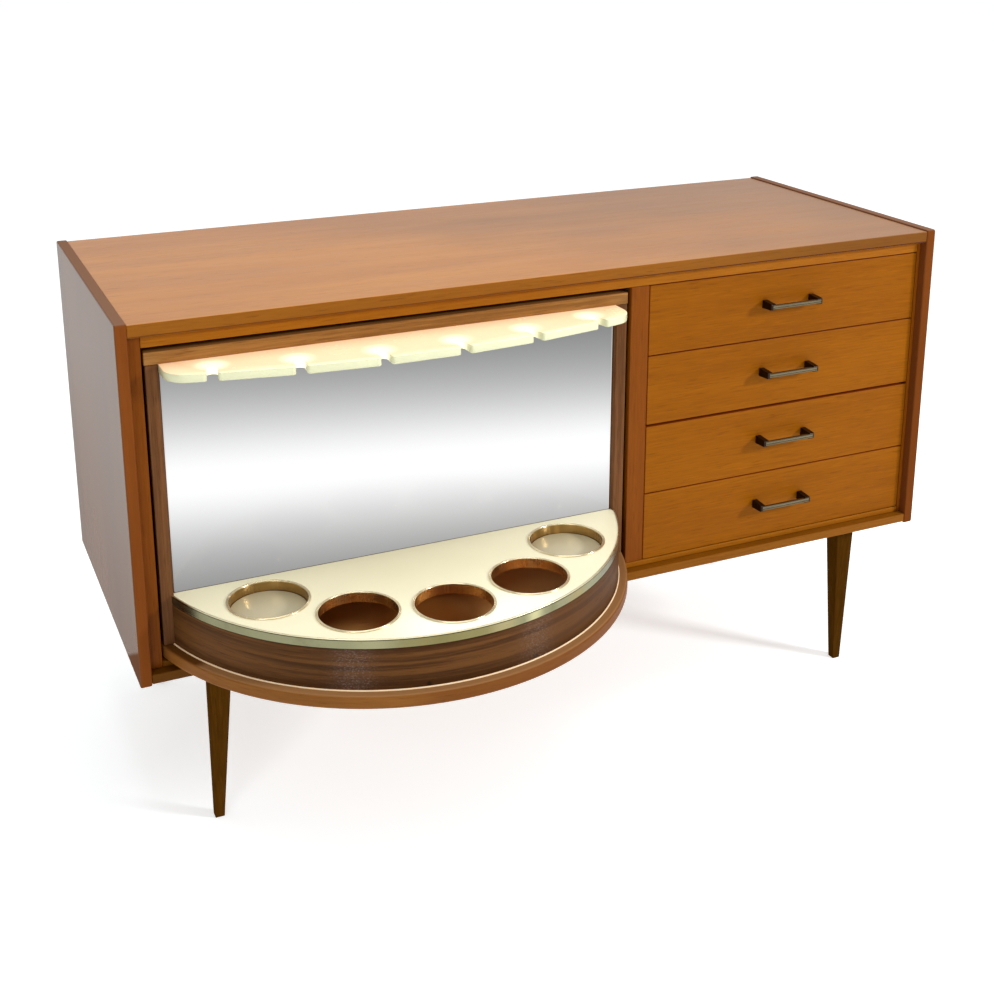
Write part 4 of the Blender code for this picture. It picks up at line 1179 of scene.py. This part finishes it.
def slot_outline(sizes, radius, centre_y, turned_by):
    """Points of one slot, from its right mouth corner to its left one."""
    half, corner = sizes.slot_width / 2, sizes.slot_corner
    edge = -radius
    end = edge + sizes.slot_length - half
    right = arc(corner, -math.pi / 2, -math.pi, CORNER_STEPS // 2, (half + corner, edge + corner))
    tip = arc(half, 0, math.pi, 2 * CORNER_STEPS, (0, end))
    left = [(-x, y) for x, y in reversed(right)]
    turn = Matrix.Rotation(turned_by, 2)
    points = [turn @ Vector(point) for point in right + tip + left]
    return [(point.x, point.y + centre_y) for point in points]


def well_places(sizes):
    """Centres of the wells, one behind each slot."""
    centre_y = low("glass_rack").y + sizes.rack_arc
    reach = sizes.rack_arc - sizes.well_setback
    return [(PIVOT.x + reach * math.sin(angle), centre_y - reach * math.cos(angle))
            for angle in slot_turns(sizes)]


def make_rack(look, sizes):
    """Rack with a painted glow, with a slot and a shallow well for each glass."""
    floor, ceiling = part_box("glass_rack")
    places = well_places(sizes)
    finish = acrylic("rack_acrylic", look.acrylic, places, sizes.well_radius)
    rack = add_piece("lit_glass_rack", prism(rack_outline(sizes), floor.z, ceiling.z), finish,
                     "bar", "cream_acrylic", "glass_rack")
    soften(rack, sizes.rack_round)
    rim = sizes.well_radius
    bottom = ceiling.z - sizes.well_depth
    sphere = (rim * rim + sizes.well_depth ** 2) / (2 * sizes.well_depth)
    reach = math.asin(rim / sphere)
    dish = arc(sphere, -math.pi / 2, reach - math.pi / 2, CORNER_STEPS, (0, bottom + sphere))
    profile = dish + [(rim, ceiling.z + OVERRUN), (0, ceiling.z + OVERRUN)]
    cut(rack, merged([turned(profile, (*place, 0), WELL_STEPS) for place in places]))


def make_mirror():
    """Mirror's finish, a painted reflection that glows."""
    dress(painted_mirror("mirror_painted_reflection"), "bar_mirror")


def make_lamp(look):
    """Lamp behind the rack."""
    dress(lamp_glass("lamp_frost", look.glow), "lamp_tube")


def make_pivot():
    """Bearing and pivot tube."""
    dress(metal("bearing_steel", (0.45, 0.45, 0.46), 0.32, 0.3), "turntable_bearing", "pivot_tube")


def add_light(name, place, target, size, power):
    """Square soft light that faces a point."""
    lamp = bpy.data.lights.new(name, "AREA")
    lamp.shape = "SQUARE"
    lamp.size = size
    lamp.energy = power
    light = bpy.data.objects.new(name, lamp)
    light.location = place
    way = Vector(target) - Vector(place)
    light.rotation_euler = way.to_track_quat("-Z", "Y").to_euler()
    bpy.context.scene.collection.objects.link(light)


def make_floor(look, light):
    """Wide pale floor."""
    reach = 30.0
    shape = bmesh.new()
    bmesh.ops.create_grid(shape, x_segments=8, y_segments=8, size=reach)
    mesh = bpy.data.meshes.new("floor")
    shape.to_mesh(mesh)
    shape.free()
    mesh.materials.append(matt("floor_paint", look.floor, light.floor))
    floor = bpy.data.objects.new("floor", mesh)
    bpy.context.scene.collection.objects.link(floor)


def make_world(light):
    """Soft light from all round, stronger from behind and above."""
    world = bpy.data.worlds.new("studio")
    world.use_nodes = True
    sky = Shading(world.node_tree)
    _, y, z = sky.spread("Generated")
    strength = y.rise(-0.2, 0.8) * light.back + z.rise(0.3, 1.0) * light.ceiling + light.room
    sky.feed(world.node_tree.nodes["Background"].inputs["Strength"], strength)
    world.node_tree.nodes["Background"].inputs["Color"].default_value = (1, 1, 1, 1)
    bpy.context.scene.world = world


def make_lights(light):
    """Key light from the front right, a softer one from the front left and one above."""
    middle, top = (0, -0.1, 0.45), (0, -0.2, 0.7)
    add_light("key", place=(2.35, -2.1, 1.75), target=middle, size=0.45, power=light.key)
    add_light("window", place=(-2.1, -2.5, 1.9), target=middle, size=1.2, power=light.window)
    add_light("overhead", place=(0, -0.5, 3.2), target=top, size=2.0, power=light.overhead)


def make_camera():
    """Camera at the photograph's angle."""
    lens = bpy.data.cameras.new("camera")
    lens.sensor_width = SENSOR
    lens.lens = SENSOR * FOCAL_PIXELS / PHOTO_SIDE
    lens.shift_x, lens.shift_y = CAMERA_SHIFT
    camera = bpy.data.objects.new("camera", lens)
    back = Vector((math.sin(CAMERA_TURN) * math.cos(CAMERA_TILT),
                   -math.cos(CAMERA_TURN) * math.cos(CAMERA_TILT), math.sin(CAMERA_TILT)))
    camera.location = CAMERA_PLACE
    camera.rotation_euler = (-back).to_track_quat("-Z", "Y").to_euler()
    bpy.context.scene.collection.objects.link(camera)
    bpy.context.scene.camera = camera


class SIDEBOARD_OT_stage(bpy.types.Operator):
    """Floor, lights and camera"""

    bl_idname = "sideboard.stage"
    bl_label = "Stage"

    def execute(self, context):
        """Makes the stage."""
        context.scene.view_settings.view_transform = "Standard"
        make_floor(context.scene.sideboard_colours, context.scene.sideboard_light)
        make_world(context.scene.sideboard_light)
        make_lights(context.scene.sideboard_light)
        make_camera()
        return {"FINISHED"}


class SIDEBOARD_OT_case(bpy.types.Operator):
    """Side panels, top, bottom and face frame"""

    bl_idname = "sideboard.case"
    bl_label = "Case"

    def execute(self, context):
        """Finishes the case."""
        make_case(context.scene.sideboard_colours)
        return {"FINISHED"}


class SIDEBOARD_OT_back(bpy.types.Operator):
    """Back panel with its screws and gland"""

    bl_idname = "sideboard.back"
    bl_label = "Back"

    def execute(self, context):
        """Finishes the back."""
        make_back(context.scene.sideboard_colours)
        return {"FINISHED"}


class SIDEBOARD_OT_legs(bpy.types.Operator):
    """Tapered legs"""

    bl_idname = "sideboard.legs"
    bl_label = "Legs"

    def execute(self, context):
        """Finishes the legs."""
        make_legs(context.scene.sideboard_colours)
        return {"FINISHED"}


class SIDEBOARD_OT_drawers(bpy.types.Operator):
    """Drawer fronts and boxes"""

    bl_idname = "sideboard.drawers"
    bl_label = "Drawers"

    def execute(self, context):
        """Finishes the drawers."""
        make_drawers(context.scene.sideboard_colours)
        return {"FINISHED"}


class SIDEBOARD_OT_handles(bpy.types.Operator):
    """Drawer handles"""

    bl_idname = "sideboard.handles"
    bl_label = "Handles"

    def execute(self, context):
        """Makes the handles."""
        make_handles(context.scene.sideboard_colours, context.scene.sideboard_sizes)
        return {"FINISHED"}


class SIDEBOARD_OT_box(bpy.types.Operator):
    """Box and door of the turning cabinet"""

    bl_idname = "sideboard.box"
    bl_label = "Turning box"

    def execute(self, context):
        """Finishes the box."""
        make_box(context.scene.sideboard_colours)
        return {"FINISHED"}


class SIDEBOARD_OT_base(bpy.types.Operator):
    """Half-round base"""

    bl_idname = "sideboard.base"
    bl_label = "Base"

    def execute(self, context):
        """Makes the base."""
        make_base(context.scene.sideboard_colours, context.scene.sideboard_sizes)
        return {"FINISHED"}


class SIDEBOARD_OT_drum(bpy.types.Operator):
    """Walnut front and brass band of the drum"""

    bl_idname = "sideboard.drum"
    bl_label = "Drum"

    def execute(self, context):
        """Makes the drum's front and band."""
        make_fascia(context.scene.sideboard_colours, context.scene.sideboard_sizes)
        make_band(context.scene.sideboard_colours, context.scene.sideboard_sizes)
        return {"FINISHED"}


class SIDEBOARD_OT_tray(bpy.types.Operator):
    """Cream tray"""

    bl_idname = "sideboard.tray"
    bl_label = "Tray"

    def execute(self, context):
        """Makes the tray."""
        make_tray(context.scene.sideboard_colours)
        return {"FINISHED"}


class SIDEBOARD_OT_cups(bpy.types.Operator):
    """Brass rings and dishes"""

    bl_idname = "sideboard.cups"
    bl_label = "Rings and dishes"

    def execute(self, context):
        """Makes the rings and dishes."""
        make_cups(context.scene.sideboard_colours)
        return {"FINISHED"}


class SIDEBOARD_OT_rack(bpy.types.Operator):
    """Glass rack with a painted glow"""

    bl_idname = "sideboard.rack"
    bl_label = "Glass rack"

    def execute(self, context):
        """Makes the rack and lights the lamp."""
        make_rack(context.scene.sideboard_colours, context.scene.sideboard_sizes)
        make_lamp(context.scene.sideboard_colours)
        return {"FINISHED"}


class SIDEBOARD_OT_mirror(bpy.types.Operator):
    """Mirror, bearing and pivot"""

    bl_idname = "sideboard.mirror"
    bl_label = "Mirror and pivot"

    def execute(self, context):
        """Finishes the mirror and the pivot."""
        make_mirror()
        make_pivot()
        return {"FINISHED"}


STEPS = (SIDEBOARD_OT_stage, SIDEBOARD_OT_case, SIDEBOARD_OT_back, SIDEBOARD_OT_legs,
         SIDEBOARD_OT_drawers, SIDEBOARD_OT_handles, SIDEBOARD_OT_box, SIDEBOARD_OT_base,
         SIDEBOARD_OT_drum, SIDEBOARD_OT_tray, SIDEBOARD_OT_cups, SIDEBOARD_OT_rack,
         SIDEBOARD_OT_mirror)


class SIDEBOARD_PT_steps(bpy.types.Panel):
    """Lists the steps that dress the sideboard"""

    bl_idname = "SIDEBOARD_PT_steps"
    bl_label = "Sideboard"
    bl_space_type = "VIEW_3D"
    bl_region_type = "UI"
    bl_category = "Sideboard"

    def draw(self, context):
        """Draws a button for each step."""
        for step in STEPS:
            self.layout.operator(step.bl_idname)


GROUPS = {"sideboard_colours": SideboardColours, "sideboard_sizes": SideboardSizes,
          "sideboard_light": SideboardLight}


def register():
    """Registers the classes and the scene's settings."""
    for made in (*GROUPS.values(), *STEPS, SIDEBOARD_PT_steps):
        bpy.utils.register_class(made)
    for name, group in GROUPS.items():
        setattr(bpy.types.Scene, name, PointerProperty(type=group))


def unregister():
    """Takes the classes and the scene's settings away again."""
    for name in GROUPS:
        delattr(bpy.types.Scene, name)
    for made in reversed((*GROUPS.values(), *STEPS, SIDEBOARD_PT_steps)):
        bpy.utils.unregister_class(made)


def main():
    """Dresses the sideboard."""
    register()
    for step in STEPS:
        group, name = step.bl_idname.split(".")
        getattr(getattr(bpy.ops, group), name)()


if __name__ == "__main__":
    main()
